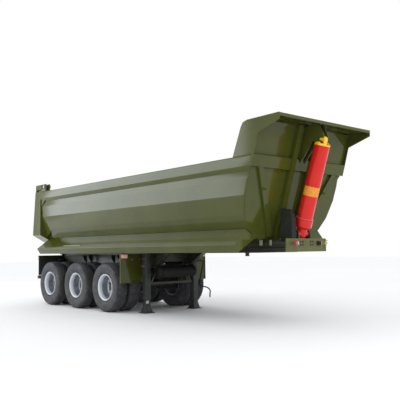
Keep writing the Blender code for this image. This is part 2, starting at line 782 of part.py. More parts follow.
def build_tailgate():
    """A ribbed tailgate that hangs from two arms on pins above the rails and swings out at the foot."""
    sides_half = [(HALF_WIDTH, RAIL_TOP), *frame_outer_half()[:-1]]
    outline = mirrored_outline(sides_half + [(FRAME_FOOT_Y, TAILGATE_BOTTOM)])
    front = lambda point: tail_x(point[1]) + TAILGATE_THICKNESS
    rear = lambda point: tail_x(point[1])
    solids = [prism(outline, "x", rear, front)]
    hinge = (ahead(TAIL_HINGE_AHEAD), TAIL_HINGE_Z)
    root_z = RAIL_TOP - RAIL_WIDTH / 2
    arm = arc(hinge, ARM_RADIUS, -90, 90) + [
        (tail_x(EAR_TOP) + SINK, hinge[1] + ARM_RADIUS),
        (tail_x(root_z) + SINK, root_z),
        (tail_x(root_z) + TAILGATE_THICKNESS - SINK, root_z),
        (tail_x(TAIL_BLOCK_BOTTOM) + TAILGATE_THICKNESS - SINK, hinge[1] - ARM_RADIUS),
    ]
    tail_block = [
        (ahead(TAIL_BLOCK_FRONT_AHEAD), TAIL_BLOCK_BOTTOM),
        (ahead(TAIL_BLOCK_FRONT_AHEAD), EAR_TOP),
        (tail_x(EAR_TOP), EAR_TOP),
        (tail_x(root_z) + SHEET_STEP, root_z + SINK),
        (tail_x(root_z) + TAILGATE_THICKNESS - SHEET_STEP, root_z + SINK),
        (tail_x(TAIL_BLOCK_BOTTOM) + TAILGATE_THICKNESS - SHEET_STEP, TAIL_BLOCK_BOTTOM),
    ]
    outer_y = HALF_WIDTH - SHEET_STEP
    arm_low = outer_y - EAR_PLATE - ARM_THICKNESS - SINK
    arm_high = outer_y - EAR_PLATE - SINK
    cutters = []
    for sign in (-1, 1):
        solids.append(prism(arm, "y", *sorted((sign * arm_low, sign * arm_high))))
        block_low = outer_y - 2 * EAR_PLATE - ARM_THICKNESS
        solids.append(prism(tail_block, "y", *sorted((sign * block_low, sign * (outer_y - SHEET_STEP)))))
        start = (hinge[0], sign * (arm_low - OVERRUN), hinge[1])
        end = (hinge[0], sign * (arm_high + OVERRUN), hinge[1])
        cutters.append(bore(start, end, TAIL_PIN_RADIUS))
    low_z = FRAME_SHOULDER_Z + RIB_WIDTH / 2
    high_z = RAIL_TOP - 2 * RIB_WIDTH
    wide = 2 * (HALF_WIDTH - RIB_WIDTH)
    column = (wide + RIB_WIDTH) / POCKET_COLUMNS
    row = (high_z - low_z + RIB_WIDTH) / POCKET_ROWS
    pocket_floor = lambda point: tail_x(point[1]) + TAILGATE_THICKNESS - TAILGATE_SKIN
    pocket_mouth = lambda point: tail_x(point[1]) - OVERRUN
    for i in range(POCKET_COLUMNS):
        for j in range(POCKET_ROWS):
            corner = (-wide / 2 + i * column, low_z + j * row)
            opposite = (corner[0] + column - RIB_WIDTH, corner[1] + row - RIB_WIDTH)
            cutters.append(prism(rectangle(corner, opposite), "x", pocket_mouth, pocket_floor))
    node("tailgate", solids, "olive_paint", cutters, pivot=(hinge[0], 0, hinge[1]))


def build_skirts():
    """Folded side skirts over the wheels: a sloping sheet, an inward lip and gussets that meet the tub."""
    knee_y = FRAME_KNEE_Y + RAIL_WIDTH
    top, crease = (SKIRT_TOP_Y, SKIRT_TOP_Z), (HALF_WIDTH, SKIRT_CREASE_Z)
    knee = between(top, crease, (knee_y - SKIRT_TOP_Y) / (HALF_WIDTH - SKIRT_TOP_Y))
    sheet_outer = [top, knee, crease, (SKIRT_LIP_Y, SKIRT_LIP_Z)]
    sheet_inner = offset_inward(sheet_outer, PLATE)
    outer = tub_section()
    low = offset_inward(outer, -SEAT)
    gusset = [
        between(sheet_outer[0], sheet_inner[0], SIDE_FOOT_SHARE),
        (HALF_WIDTH - SHEET_STEP, SKIRT_CREASE_Z),
        (SKIRT_LIP_Y - SHEET_STEP, SKIRT_LIP_Z + SHEET_STEP),
        between(low[5], low[6], 0.5),
        low[5],
        low[4],
    ]
    front = ahead(SKIRT_FRONT_AHEAD)
    rear = ahead(-FRAME_FACE_BEHIND) + RAIL_WIDTH / 10

    def rear_rule(point):
        past = (abs(point[0]) - knee_y) / (SKIRT_LIP_Y - knee_y)
        return rear - max(0.0, min(1.0, past)) * (SKIRT_REAR_BEHIND - FRAME_FACE_BEHIND)

    spacing = (front - rear - PLATE) / SKIRT_GUSSETS
    for side, sign in sides():
        solids = [folded_sheet(flipped(sheet_outer, sign), flipped(sheet_inner, sign), rear_rule, front)]
        for index in range(SKIRT_GUSSETS + 1):
            start = rear + SHEET_STEP + index * (spacing - 2 * SHEET_STEP / SKIRT_GUSSETS)
            solids.append(prism(flipped(gusset, sign), "x", start, start + PLATE))
        node("skirt_" + side, solids, "olive_paint", pivot=tipping_axis())


def build_subframe():
    """Two runners under the tub, their crossbars, and the rear crossbar with the tipping lugs."""
    low = FRAME_TOP + SEAT
    high = TUB_BOTTOM - SEAT
    rear = ahead(-FRAME_FACE_BEHIND) + SINK
    front = ahead(RUNNER_FRONT_AHEAD)
    half = RUNNER_WIDTH / 2
    solids = []
    for sign in (-1, 1):
        y = sign * BEAM_Y
        solids.append(block((rear, y - half, low), (front, y + half, high)))
    spacing = (front - rear - RUNNER_WIDTH) / RUNNER_CROSSBARS
    for index in range(RUNNER_CROSSBARS + 1):
        start = rear + SHEET_STEP + index * (spacing - SINK / RUNNER_CROSSBARS)
        end = start + RUNNER_WIDTH
        solids.append(block((start, -BEAM_Y, low + SHEET_STEP), (end, BEAM_Y, high - SHEET_STEP)))
    lug_half = LUG_THICKNESS / 2
    bar_high = TAILGATE_BOTTOM
    bar_front = rear + RAIL_WIDTH
    hinge = (ahead(HINGE_AHEAD), HINGE_Z)
    bar_reach = LUG_Y + lug_half + SHEET_STEP
    bar_rear = hinge[0] - LUG_RADIUS
    solids.append(block((bar_rear, -bar_reach, low + SEAT), (bar_front, bar_reach, bar_high)))
    lug_root = bar_high - SHEET_STEP
    lug = [(hinge[0] + LUG_RADIUS, lug_root), (bar_rear + SHEET_STEP, lug_root)]
    lug += arc(hinge, LUG_RADIUS, 180, 360)
    cutters = []
    for sign in (-1, 1):
        solids.append(prism(lug, "y", sign * LUG_Y - lug_half, sign * LUG_Y + lug_half))
        start = (hinge[0], sign * (LUG_Y - lug_half - OVERRUN), hinge[1])
        end = (hinge[0], sign * (LUG_Y + lug_half + OVERRUN), hinge[1])
        cutters.append(bore(start, end, HINGE_SHAFT_RADIUS))
    node("body_subframe", solids, "chassis_paint", cutters, pivot=tipping_axis())


def beam_outline(inset):
    """Side view of a main beam: deep over the axles, shallow over the coupling, chamfered at the tail."""
    top = FRAME_TOP - inset
    return [
        (ahead(-FRAME_REAR_BEHIND) + inset, FRAME_DEEP_BOTTOM + inset),
        (ahead(DEEP_END_AHEAD), FRAME_DEEP_BOTTOM + inset),
        (ahead(NECK_START_AHEAD), FRAME_NECK_BOTTOM + inset),
        (ahead(FRAME_FRONT_AHEAD) - inset, FRAME_NECK_BOTTOM + inset),
        (ahead(FRAME_FRONT_AHEAD) - inset, top),
        (ahead(FRAME_TAIL_CHAMFER_AHEAD) + inset, top),
        (ahead(-FRAME_REAR_BEHIND) + inset, FRAME_TAIL_TOP_Z - inset),
    ]


def crossmember_places():
    """Distances ahead of the rear axle of the chassis crossmembers, with the height of their undersides."""
    half = AXLE_SPACING / 2
    deep = [half, half + AXLE_SPACING, LEG_AHEAD]
    middle = (NECK_START_AHEAD + COUPLER_PLATE_REAR_AHEAD) / 2
    neck = [middle, KINGPIN_AHEAD - KINGPIN_REACH, KINGPIN_AHEAD + KINGPIN_REACH, CRADLE_REAR_AHEAD]
    deep_low = FRAME_DEEP_BOTTOM + BEAM_FLANGE + CROSSMEMBER_HEIGHT
    neck_low = FRAME_NECK_BOTTOM + BEAM_FLANGE + SHEET_STEP
    return [(place, deep_low) for place in deep] + [(place, neck_low) for place in neck]


def build_chassis_frame():
    """Two flanged main beams with crossmembers, the tipping shaft, leg brackets and guard arms."""
    solids = []
    cutters = []
    half = BEAM_WIDTH / 2
    web = BEAM_WEB / 2
    for sign in (-1, 1):
        y = sign * BEAM_Y
        solids.append(prism(beam_outline(0), "y", y - half, y + half))
        for near, far in ((web, half + OVERRUN), (-half - OVERRUN, -web)):
            cutters.append(prism(beam_outline(BEAM_FLANGE), "y", y + near, y + far))
    frame = [combined_bm("beams", solids, cutters)]
    long = CROSSMEMBER_LENGTH / 2
    for place, low in crossmember_places():
        x = ahead(place)
        high = min(low + CROSSMEMBER_HEIGHT, FRAME_TOP - BEAM_FLANGE - SHEET_STEP)
        frame.append(block((x - long, -BEAM_Y, low), (x + long, BEAM_Y, high)))
    tail = ahead(-FRAME_REAR_BEHIND) + SHEET_STEP
    tail_low = FRAME_DEEP_BOTTOM + BEAM_FLANGE + SHEET_STEP
    frame.append(block((tail, -BEAM_Y, tail_low), (tail + long, BEAM_Y, HINGE_Z)))
    shaft_x = ahead(HINGE_AHEAD)
    shaft_end = HINGE_SHAFT_HALF_LENGTH
    frame.append(rod((shaft_x, -shaft_end, HINGE_Z), (shaft_x, shaft_end, HINGE_Z), HINGE_SHAFT_RADIUS))
    leg_x = ahead(LEG_AHEAD)
    guard_x = ahead(GUARD_AHEAD) - SEAT - SHEET_STEP
    for sign in (-1, 1):
        inner = sign * (BEAM_Y + web - SHEET_STEP / 2)
        plate = sign * (LEG_Y - LEG_HALF - SEAT)
        low, high = sorted((inner, plate))
        frame.append(block((leg_x - LEG_HALF, low, LEG_BRACKET_BOTTOM),
                           (leg_x + LEG_HALF, high, LEG_BRACKET_TOP)))
        low, high = sorted((inner, sign * (GUARD_OUTER_Y - 2 * GUARD_PLATE)))
        frame.append(block((guard_x - GUARD_ARM, low, GUARD_ARM_Z),
                           (guard_x + SHEET_STEP, high, GUARD_ARM_Z + GUARD_ARM)))
    node("chassis_frame", frame, "chassis_paint")


def combined_bm(name, solids, cutters):
    """The same join as for a node, handed back as a bmesh for further joining."""
    mesh = combined(name, solids, cutters)
    bm = bmesh.new()
    bm.from_mesh(mesh)
    bpy.data.meshes.remove(mesh)
    return bm


def build_coupling():
    """Kingpin plate with its pin under the neck, and the front plate with its couplings and socket."""
    top = FRAME_NECK_BOTTOM - SEAT
    bottom = top - COUPLER_PLATE_THICKNESS
    reach = BEAM_Y + BEAM_WIDTH / 2
    plate_rear = ahead(COUPLER_PLATE_REAR_AHEAD)
    plate = block((plate_rear, -reach, bottom), (ahead(COUPLER_PLATE_FRONT_AHEAD), reach, top))
    tip = KINGPIN_LENGTH
    pin = turned(
        [
            (0, -SINK),
            (KINGPIN_RADIUS, -SINK),
            (KINGPIN_RADIUS, tip / 4),
            (KINGPIN_NECK_RADIUS, tip / 3),
            (KINGPIN_NECK_RADIUS, tip - KINGPIN_HEAD),
            (KINGPIN_RADIUS, tip - KINGPIN_HEAD + SHEET_STEP),
            (KINGPIN_RADIUS, tip),
            (0, tip),
        ],
        (ahead(KINGPIN_AHEAD), 0, bottom), (0, 0, -1))
    node("coupler_plate", [plate, pin], "cast_steel")
    front = ahead(FRAME_FRONT_AHEAD)
    face = front + FRONT_PLATE_THICKNESS
    node("front_plate", [block((front + SEAT, -FRONT_PLATE_HALF_WIDTH, FRAME_NECK_BOTTOM),
                               (face, FRONT_PLATE_HALF_WIDTH, FRONT_PLATE_TOP))], "olive_paint")
    fitting_z = (FRAME_NECK_BOTTOM + FRONT_PLATE_TOP) / 2 + FITTING_RISE
    fittings = (("air_coupling_red", "coupling_red"), ("electric_socket", "black_plastic"),
                ("air_coupling_yellow", "cap_yellow"))
    for (name, finish), y_share in zip(fittings, FITTING_Y_SHARES):
        profile = [
            (0, 0),
            (FITTING_RADIUS, 0),
            (FITTING_RADIUS, FITTING_DEPTH / 2),
            (FITTING_RADIUS / 2, FITTING_DEPTH),
            (0, FITTING_DEPTH),
        ]
        place = (face + SEAT, y_share * FRONT_PLATE_HALF_WIDTH, fitting_z)
        node(name, [turned(profile, place, (1, 0, 0))], finish, smooth=True)


def build_cradle():
    """A plate across the chassis neck with two cheeks that hold the cylinder's trunnion."""
    low = FRAME_TOP + SEAT
    reach = BEAM_Y + BEAM_WIDTH / 2
    centre = (ahead(TRUNNION_AHEAD), TRUNNION_Z)
    rear = ahead(CRADLE_REAR_AHEAD)
    front = ahead(CRADLE_FRONT_AHEAD)
    solids = [block((rear, -reach, low), (front, reach, low + CRADLE_PLATE))]
    root = low + CRADLE_PLATE / 2
    cheek = [(rear + SINK, root), (front - SINK, root)] + arc(centre, CHEEK_RADIUS, 0, 180)
    cutters = []
    half = CHEEK_THICKNESS / 2
    for sign in (-1, 1):
        y = sign * CHEEK_Y
        solids.append(prism(cheek, "y", y - half, y + half))
        start = (centre[0], y - half - OVERRUN, centre[1])
        end = (centre[0], y + half + OVERRUN, centre[1])
        cutters.append(bore(start, end, TRUNNION_RADIUS))
    node("cylinder_cradle", solids, "chassis_paint", cutters)


def hose_guard_outline(inset, foot, rear):
    """Side view of the hose guard: an upright back, a short roof and a round front."""
    roof_end = ahead(HOSE_GUARD_REAR_AHEAD) + HOSE_GUARD_ROOF
    front = ahead(CRADLE_FRONT_AHEAD) - SINK
    radius = front - roof_end
    round_front = arc((roof_end, HOSE_GUARD_TOP - radius), radius - inset, 0, 90, 18)
    return [(rear, foot), (front - inset, foot)] + round_front + [(rear, HOSE_GUARD_TOP - inset)]


def build_hose_guard():
    """A thin cover over the cylinder's hose that stands on the cradle, open at its back and its foot."""
    foot = FRAME_TOP + SEAT + CRADLE_PLATE + SEAT
    rear = ahead(HOSE_GUARD_REAR_AHEAD)
    shell = prism(hose_guard_outline(0, foot, rear), "y", -HOSE_GUARD_OUTER_Y, -HOSE_GUARD_INNER_Y)
    inside = hose_guard_outline(HOSE_GUARD_WALL, foot - OVERRUN, rear - OVERRUN)
    hollow = prism(inside, "y", HOSE_GUARD_WALL - HOSE_GUARD_OUTER_Y, -HOSE_GUARD_INNER_Y - HOSE_GUARD_WALL)
    node("hose_guard", [shell], "black_plastic", [hollow])


def cylinder_frame():
    """Foot point and direction of the cylinder's axis in its stored position."""
    foot = Vector((ahead(TRUNNION_AHEAD), 0, TRUNNION_Z))
    eye = Vector((ahead(EYE_AHEAD), 0, EYE_Z))
    return foot, eye - foot


def build_cylinder():
    """Base with trunnion, nested stages, the painted cover with the last rod, and the yellow eye cap."""
    foot, run = cylinder_frame()
    roof = COVER_END - CYLINDER_ROOF
    tube_top = roof - SEAT
    inner = BASE_TUBE_RADIUS - STAGE_WALL
    base = turned(
        [
            (0, -BASE_DROP),
            (BASE_RADIUS, -BASE_DROP),
            (BASE_RADIUS, COLLAR_START),
            (COLLAR_RADIUS, COLLAR_BEND),
            (COLLAR_RADIUS, COVER_START - SEAT),
            (BASE_TUBE_RADIUS, COVER_START - SEAT),
            (BASE_TUBE_RADIUS, tube_top),
            (inner, tube_top),
            (inner, CYLINDER_FLOOR),
            (0, CYLINDER_FLOOR),
        ],
        foot, run)
    reach = TRUNNION_HALF_LENGTH
    trunnion = rod((foot.x, -reach, foot.z), (foot.x, reach, foot.z), TRUNNION_RADIUS)
    node("cylinder_base", [base, trunnion], "cylinder_red", pivot=foot, smooth=True)
    outer = inner
    for stage in range(1, STAGE_COUNT + 1):
        outer = outer - STAGE_GAP
        hollow = outer - STAGE_WALL
        start = CYLINDER_FLOOR + STAGE_WALL
        tube = [(outer, start), (outer, tube_top), (hollow, tube_top), (hollow, start)]
        node("cylinder_stage_" + str(stage), [turned(tube, foot, run)], "polished_steel",
             pivot=foot, smooth=True)
        outer = hollow
    rod_radius = outer - STAGE_GAP
    cover_bore = COVER_RADIUS - COVER_WALL
    cover = turned(
        [
            (0, COVER_END),
            (COVER_RADIUS, COVER_END),
            (COVER_RADIUS, COVER_START + COVER_RING_HEIGHT),
            (COVER_RING_RADIUS, COVER_START + COVER_RING_HEIGHT),
            (COVER_RING_RADIUS, COVER_START),
            (cover_bore, COVER_START),
            (cover_bore, roof),
            (rod_radius, roof),
            (rod_radius, CYLINDER_FLOOR + STAGE_WALL),
            (0, CYLINDER_FLOOR + STAGE_WALL),
        ],
        foot, run)
    node("cylinder_cover", [cover], "cylinder_red", pivot=foot, smooth=True)
    build_eye_cap(foot, run)


def axis_outline(foot, run, low, high, half):
    """An (x, z) rectangle about the cylinder's axis, between two distances along it."""
    along = run.normalized()
    across = Vector((along.z, 0, -along.x)) * half
    near = foot + along * low
    far = foot + along * high
    return [(corner.x, corner.z) for corner in (near - across, near + across, far + across, far - across)]


def build_eye_cap(foot, run):
    """The flanged cap on the cover, with an eye and the cross pin that rests in the body's bracket."""
    start = COVER_END + SEAT
    end = start + CAP_THICKNESS
    flange = turned([(0, start), (CAP_RADIUS, start), (CAP_RADIUS, end), (0, end)], foot, run)
    eye = foot + run
    lug = rod((eye.x, -EYE_HALF_WIDTH, eye.z), (eye.x, EYE_HALF_WIDTH, eye.z), EYE_RADIUS)
    root = start + CAP_THICKNESS / 2
    half = EYE_RADIUS * math.cos(math.pi / ROUND_SEGMENTS) - SHEET_STEP
    neck_outline = axis_outline(foot, run, root, run.length, half)
    neck = prism(neck_outline, "y", SHEET_STEP - EYE_HALF_WIDTH, EYE_HALF_WIDTH - SHEET_STEP)
    pin = rod((eye.x, -EYE_PIN_HALF_LENGTH, eye.z), (eye.x, EYE_PIN_HALF_LENGTH, eye.z), EYE_PIN_RADIUS)
    ear_outline = axis_outline(foot, run, root, start + CAP_EAR_RISE, CAP_EAR_LENGTH / 2)
    ears = []
    for sign in (-1, 1):
        y = sign * CAP_EAR_Y
        ears.append(prism(ear_outline, "y", y - CAP_EAR_WIDTH / 2, y + CAP_EAR_WIDTH / 2))
    node("cylinder_cap", [flange, lug, neck, pin, *ears], "cap_yellow", pivot=foot)


def build_landing_gear():
    """Two telescopic legs on flared feet, the bracing between them and the folded crank."""
    x = ahead(LEG_AHEAD)
    for side, sign in sides():
        y = sign * LEG_Y
        tube = block((x - LEG_HALF, y - LEG_HALF, LEG_TUBE_BOTTOM), (x + LEG_HALF, y + LEG_HALF, LEG_TOP))
        inner_low = FOOT_TOP - SINK
        inner = block((x - LEG_INNER_HALF, y - LEG_INNER_HALF, inner_low),
                      (x + LEG_INNER_HALF, y + LEG_INNER_HALF, LEG_TUBE_BOTTOM + OVERRUN))
        foot = bmesh.new()
        half_top = LEG_INNER_HALF + SHEET_STEP
        sizes = ((FOOT_HALF, 0), (FOOT_HALF, FOOT_PLATE), (half_top, FOOT_TOP))
        rings = []
        for half, z in sizes:
            corners = ((-half, -half), (half, -half), (half, half), (-half, half))
            rings.append([foot.verts.new((x + dx, y + dy, z)) for dx, dy in corners])
        foot.faces.new(rings[0])
        foot.faces.new(rings[-1])
        for lower, upper in zip(rings, rings[1:]):
            for i in range(4):
                foot.faces.new((lower[i], lower[(i + 1) % 4], upper[(i + 1) % 4], upper[i]))
        bmesh.ops.recalc_face_normals(foot, faces=foot.faces)
        solids = [tube, inner, foot]
        if side == "left":
            solids.append(crank(x))
        node("landing_leg_" + side, solids, "chassis_paint")
    build_leg_brace(x)


def build_leg_brace(x):
    """A low bar between the legs, two diagonals up to a short bar under the chassis, and the cross shaft."""
    half = BRACE_BAR / 2
    reach = LEG_Y - LEG_HALF - SEAT
    low_bar = block((x - half, -reach, BRACE_LOW_Z), (x + half, reach, BRACE_LOW_Z + BRACE_BAR))
    high_reach = BRACE_HIGH_HALF + half
    high_top = FRAME_DEEP_BOTTOM + BEAM_FLANGE + CROSSMEMBER_HEIGHT - SEAT
    high_bar = block((x - half, -high_reach, BRACE_HIGH_Z), (x + half, high_reach, high_top))
    shaft_x = x + CROSS_SHAFT_OFFSET
    shaft = rod((shaft_x, -reach, CROSS_SHAFT_Z), (shaft_x, reach, CROSS_SHAFT_Z), CROSS_SHAFT_RADIUS,
                SHAFT_SEGMENTS)
    solids = [low_bar, high_bar, shaft]
    for sign in (-1, 1):
        foot_y = reach - BRACE_BAR
        outline = [
            (sign * (foot_y - half), BRACE_LOW_Z + half),
            (sign * (foot_y + half), BRACE_LOW_Z + half),
            (sign * (BRACE_HIGH_HALF + half - SHEET_STEP), BRACE_HIGH_Z + half),
            (sign * (BRACE_HIGH_HALF - half), BRACE_HIGH_Z + half),
        ]
        solids.append(prism(outline, "x", x - half + SHEET_STEP, x + half - SHEET_STEP))
    node("landing_gear_brace", solids, "chassis_paint")


def crank(x):
    """The landing gear's crank: a bent round bar that hangs folded beside the left leg."""
    start = Vector((x, LEG_Y + LEG_HALF - SINK, BRACE_HIGH_Z))
    drop = BRACE_HIGH_Z - BRACE_LOW_Z
    places = [
        start + Vector((0, CRANK_REACH * out, -drop * down))
        for out, down in zip(CRANK_OUT_SHARES, CRANK_DOWN_SHARES)
    ]
    curve = bpy.data.curves.new("crank", "CURVE")
    curve.dimensions = "3D"
    curve.bevel_depth = CRANK_RADIUS
    curve.bevel_resolution = 2
    curve.use_fill_caps = True
    line = curve.splines.new("POLY")
    line.points.add(len(places) - 1)
    for point, place in zip(line.points, places):
        point.co = (*place, 1.0)
    bar = bpy.data.objects.new("crank", curve)
    bpy.context.collection.objects.link(bar)
    graph = bpy.context.evaluated_depsgraph_get()
    mesh = bpy.data.meshes.new_from_object(bar.evaluated_get(graph))
    bpy.data.objects.remove(bar, do_unlink=True)
    bm = bmesh.new()
    bm.from_mesh(mesh)
    bmesh.ops.remove_doubles(bm, verts=bm.verts, dist=SEAT / 10)
    bmesh.ops.recalc_face_normals(bm, faces=bm.faces)
    return bm


def build_air_tank():
    """The brake air tank, a domed drum across the chassis that hangs from both main beams."""
    inner = TANK_HALF_LENGTH - TANK_DOME_DEPTH
    dome = TANK_DOME_RADIUS_SHARE * TANK_RADIUS
    shoulder = TANK_HALF_LENGTH - TANK_DOME_DEPTH * TANK_DOME_RADIUS_SHARE ** 2
    half = [(0, TANK_HALF_LENGTH), (dome, shoulder), (TANK_RADIUS, inner)]
    profile = half + [(radius, -y) for radius, y in reversed(half)]
    solids = [turned(profile, (ahead(TANK_AHEAD), 0, TANK_Z), (0, 1, 0))]
    front = ahead(DEEP_END_AHEAD) - SHEET_STEP
    half_width = TANK_HANGER_WIDTH / 2
    for sign in (-1, 1):
        y = sign * (BEAM_Y - BEAM_WIDTH / 2 + half_width)
        solids.append(block((front - TANK_HANGER_LENGTH, y - half_width, TANK_Z),
                            (front, y + half_width, FRAME_DEEP_BOTTOM - SEAT)))
    node("air_tank", solids, "chassis_paint")


def build_guard_panels():
    """A folded panel across the front of each rear tyre pair, with a position lamp at its outer corner."""
    face = ahead(GUARD_AHEAD)
    for side, sign in sides():
        low, high = sorted((sign * GUARD_INNER_Y, sign * GUARD_OUTER_Y))
        solids = [block((face, low, GUARD_BOTTOM), (face + GUARD_PLATE, high, GUARD_TOP))]
        edge = sign * (GUARD_OUTER_Y - GUARD_PLATE)
        near, far = sorted((edge, sign * (GUARD_OUTER_Y + SHEET_STEP)))
        solids.append(block((face - SHEET_STEP, near, GUARD_BOTTOM - SHEET_STEP),
                            (face + GUARD_FOLD, far, GUARD_TOP + SHEET_STEP)))
        solids.append(block((face + SHEET_STEP, low + SHEET_STEP, GUARD_BOTTOM - GUARD_PLATE),
                            (face + GUARD_FOLD - SHEET_STEP, high - SHEET_STEP, GUARD_BOTTOM + SHEET_STEP)))
        near, far = sorted((sign * (GUARD_OUTER_Y - 2 * GUARD_PLATE), sign * (GUARD_OUTER_Y - LAMP_WIDTH)))
        solids.append(block((face + SHEET_STEP, near, GUARD_TOP - LAMP_HEIGHT),
                            (face + LAMP_DEPTH, far, GUARD_TOP - SHEET_STEP)))
        node("guard_panel_" + side, solids, "olive_paint")


def build_rear_guard():
    """The light bar, its hangers and the low bumper behind the chassis, with mudflaps and tail lamps."""
    front = ahead(-FRAME_REAR_BEHIND) - SEAT
    rear = front - LIGHT_BAR_DEPTH
    reach = REAR_BAR_HALF_WIDTH
    solids = [
        block((rear, -reach, LIGHT_BAR_BOTTOM), (front, reach, LIGHT_BAR_TOP)),
        block((front - BUMPER_DEPTH, -reach, BUMPER_BOTTOM), (front, reach, BUMPER_TOP)),
    ]
    half = BEAM_WIDTH / 2
    for sign in (-1, 1):
        y = sign * BEAM_Y
        solids.append(block((rear + SHEET_STEP, y - half, BUMPER_TOP - SINK),
                            (front - SHEET_STEP, y + half, LIGHT_BAR_BOTTOM + SINK)))
        low, high = sorted((sign * FLAP_INNER_Y, sign * (reach - SHEET_STEP)))
        flap_rear = rear + LIGHT_BAR_DEPTH / 2
        solids.append(block((flap_rear, low, FLAP_BOTTOM),
                            (flap_rear + FLAP_THICKNESS, high, LIGHT_BAR_BOTTOM + SINK)))
    node("rear_bumper", solids, "chassis_paint")
    for side, sign in sides():
        low, high = sorted((sign * (reach - SHEET_STEP), sign * (reach - LAMP_WIDTH)))
        middle = (LIGHT_BAR_BOTTOM + LIGHT_BAR_TOP) / 2
        node("tail_lamp_" + side, [block((rear - SEAT - LAMP_DEPTH, low, middle - LAMP_HEIGHT / 2),
                                         (rear - SEAT, high, middle + LAMP_HEIGHT / 2))], "lamp_red")


def spring_outline(x):
    """Side view of one leaf pack: thick over the axle, thin and raised at its ends."""
    seat = TYRE_RADIUS + SPRING_SEAT_RISE + SEAT
    steps = 4
    lower = []
    upper = []
    for index in range(-steps, steps + 1):
        share = index / steps
        rise = SPRING_CAMBER * share * share
        thick = SPRING_THICKNESS + (SPRING_END_THICKNESS - SPRING_THICKNESS) * abs(share)
        top = seat + SPRING_THICKNESS + rise
        lower.append((x + share * SPRING_HALF_LENGTH, top - thick))
        upper.append((x + share * SPRING_HALF_LENGTH, top))
    return lower + upper[::-1]


def build_suspension():
    """Leaf packs carried between hangers and rockers under each main beam, one welded set a side."""
    top = FRAME_DEEP_BOTTOM - SEAT
    seat = TYRE_RADIUS + SPRING_SEAT_RISE
    end_top = seat + SPRING_THICKNESS + SPRING_CAMBER
    for side, sign in sides():
        y = sign * SPRING_Y
        solids = []
        for index in range(AXLE_COUNT + 1):
            reach = (AXLE_COUNT - 1) * AXLE_SPACING + SPRING_HALF_LENGTH
            x = ahead(max(-SPRING_HALF_LENGTH, min(reach, (index - 0.5) * AXLE_SPACING)))
            half_top = HANGER_TOP_LENGTH / 2
            half_foot = HANGER_FOOT_LENGTH / 2
            hanger = [(x - half_top, top), (x + half_top, top), (x + half_foot, HANGER_FOOT_Z - OVERRUN),
                      (x - half_foot, HANGER_FOOT_Z - OVERRUN)]
            solids.append(prism(hanger, "y", y - HANGER_WIDTH / 2, y + HANGER_WIDTH / 2))
            low = end_top - SPRING_END_THICKNESS - SINK
            rocker_reach = AXLE_SPACING / 2 - SPRING_HALF_LENGTH + ROCKER_GRIP
            reach = rocker_reach if 0 < index < AXLE_COUNT else half_foot
            rocker = [
                (x - reach, low),
                (x + reach, low),
                (x + reach, low + ROCKER_HEIGHT / 2),
                (x + half_foot, HANGER_FOOT_Z + ROCKER_HEIGHT),
                (x - half_foot, HANGER_FOOT_Z + ROCKER_HEIGHT),
                (x - reach, low + ROCKER_HEIGHT / 2),
            ]
            half_rocker = HANGER_WIDTH / 2 - SHEET_STEP
            solids.append(prism(rocker, "y", y - half_rocker, y + half_rocker))
        for index in range(AXLE_COUNT):
            x = ahead(index * AXLE_SPACING)
            solids.append(prism(spring_outline(x), "y", y - SPRING_WIDTH / 2, y + SPRING_WIDTH / 2))
        node("suspension_" + side, solids, "cast_steel")


def brake_gear(x, sign):
    """One brake chamber on its bracket behind the axle, its lever, and the cam shaft to the drum."""
    y = sign * CHAMBER_Y
    z = TYRE_RADIUS + CHAMBER_RISE
    plate_front = x - CHAMBER_BEHIND
    plate_middle = plate_front - CHAMBER_PLATE / 2
    reach = CHAMBER_PLATE_HALF
    plate = block((plate_front - CHAMBER_PLATE, y - reach, z - reach), (plate_front, y + reach, z + reach))
    chamber_rear = plate_middle - CHAMBER_LENGTH
    chamber = rod((plate_middle, y, z), (chamber_rear, y, z), CHAMBER_RADIUS, CHAMBER_SEGMENTS)
    cam_x = x - CAM_BEHIND
    cam_z = TYRE_RADIUS - CAM_DROP
    lever = block((cam_x - LEVER_HALF, y - CAM_RADIUS, cam_z - LEVER_HALF),
                  (cam_x + LEVER_HALF, y + CAM_RADIUS, z + LEVER_HALF))
    push_rod = rod((plate_middle, y, z), (cam_x, y, z), CAM_RADIUS - SHEET_STEP, SHAFT_SEGMENTS)
    cam_end = sign * (DRUM_END_Y - BACKPLATE_GAP - BACKPLATE_THICKNESS / 2)
    cam_shaft = rod((cam_x, y, cam_z), (cam_x, cam_end, cam_z), CAM_RADIUS, SHAFT_SEGMENTS)
    rib_y = sign * BRAKE_RIB_Y
    rib_half = CHAMBER_PLATE / 2
    rib = block((plate_middle, rib_y - rib_half, cam_z - 2 * LEVER_HALF),
                (x - AXLE_RADIUS / 2, rib_y + rib_half, z))
    return [plate, chamber, lever, push_rod, cam_shaft, rib]


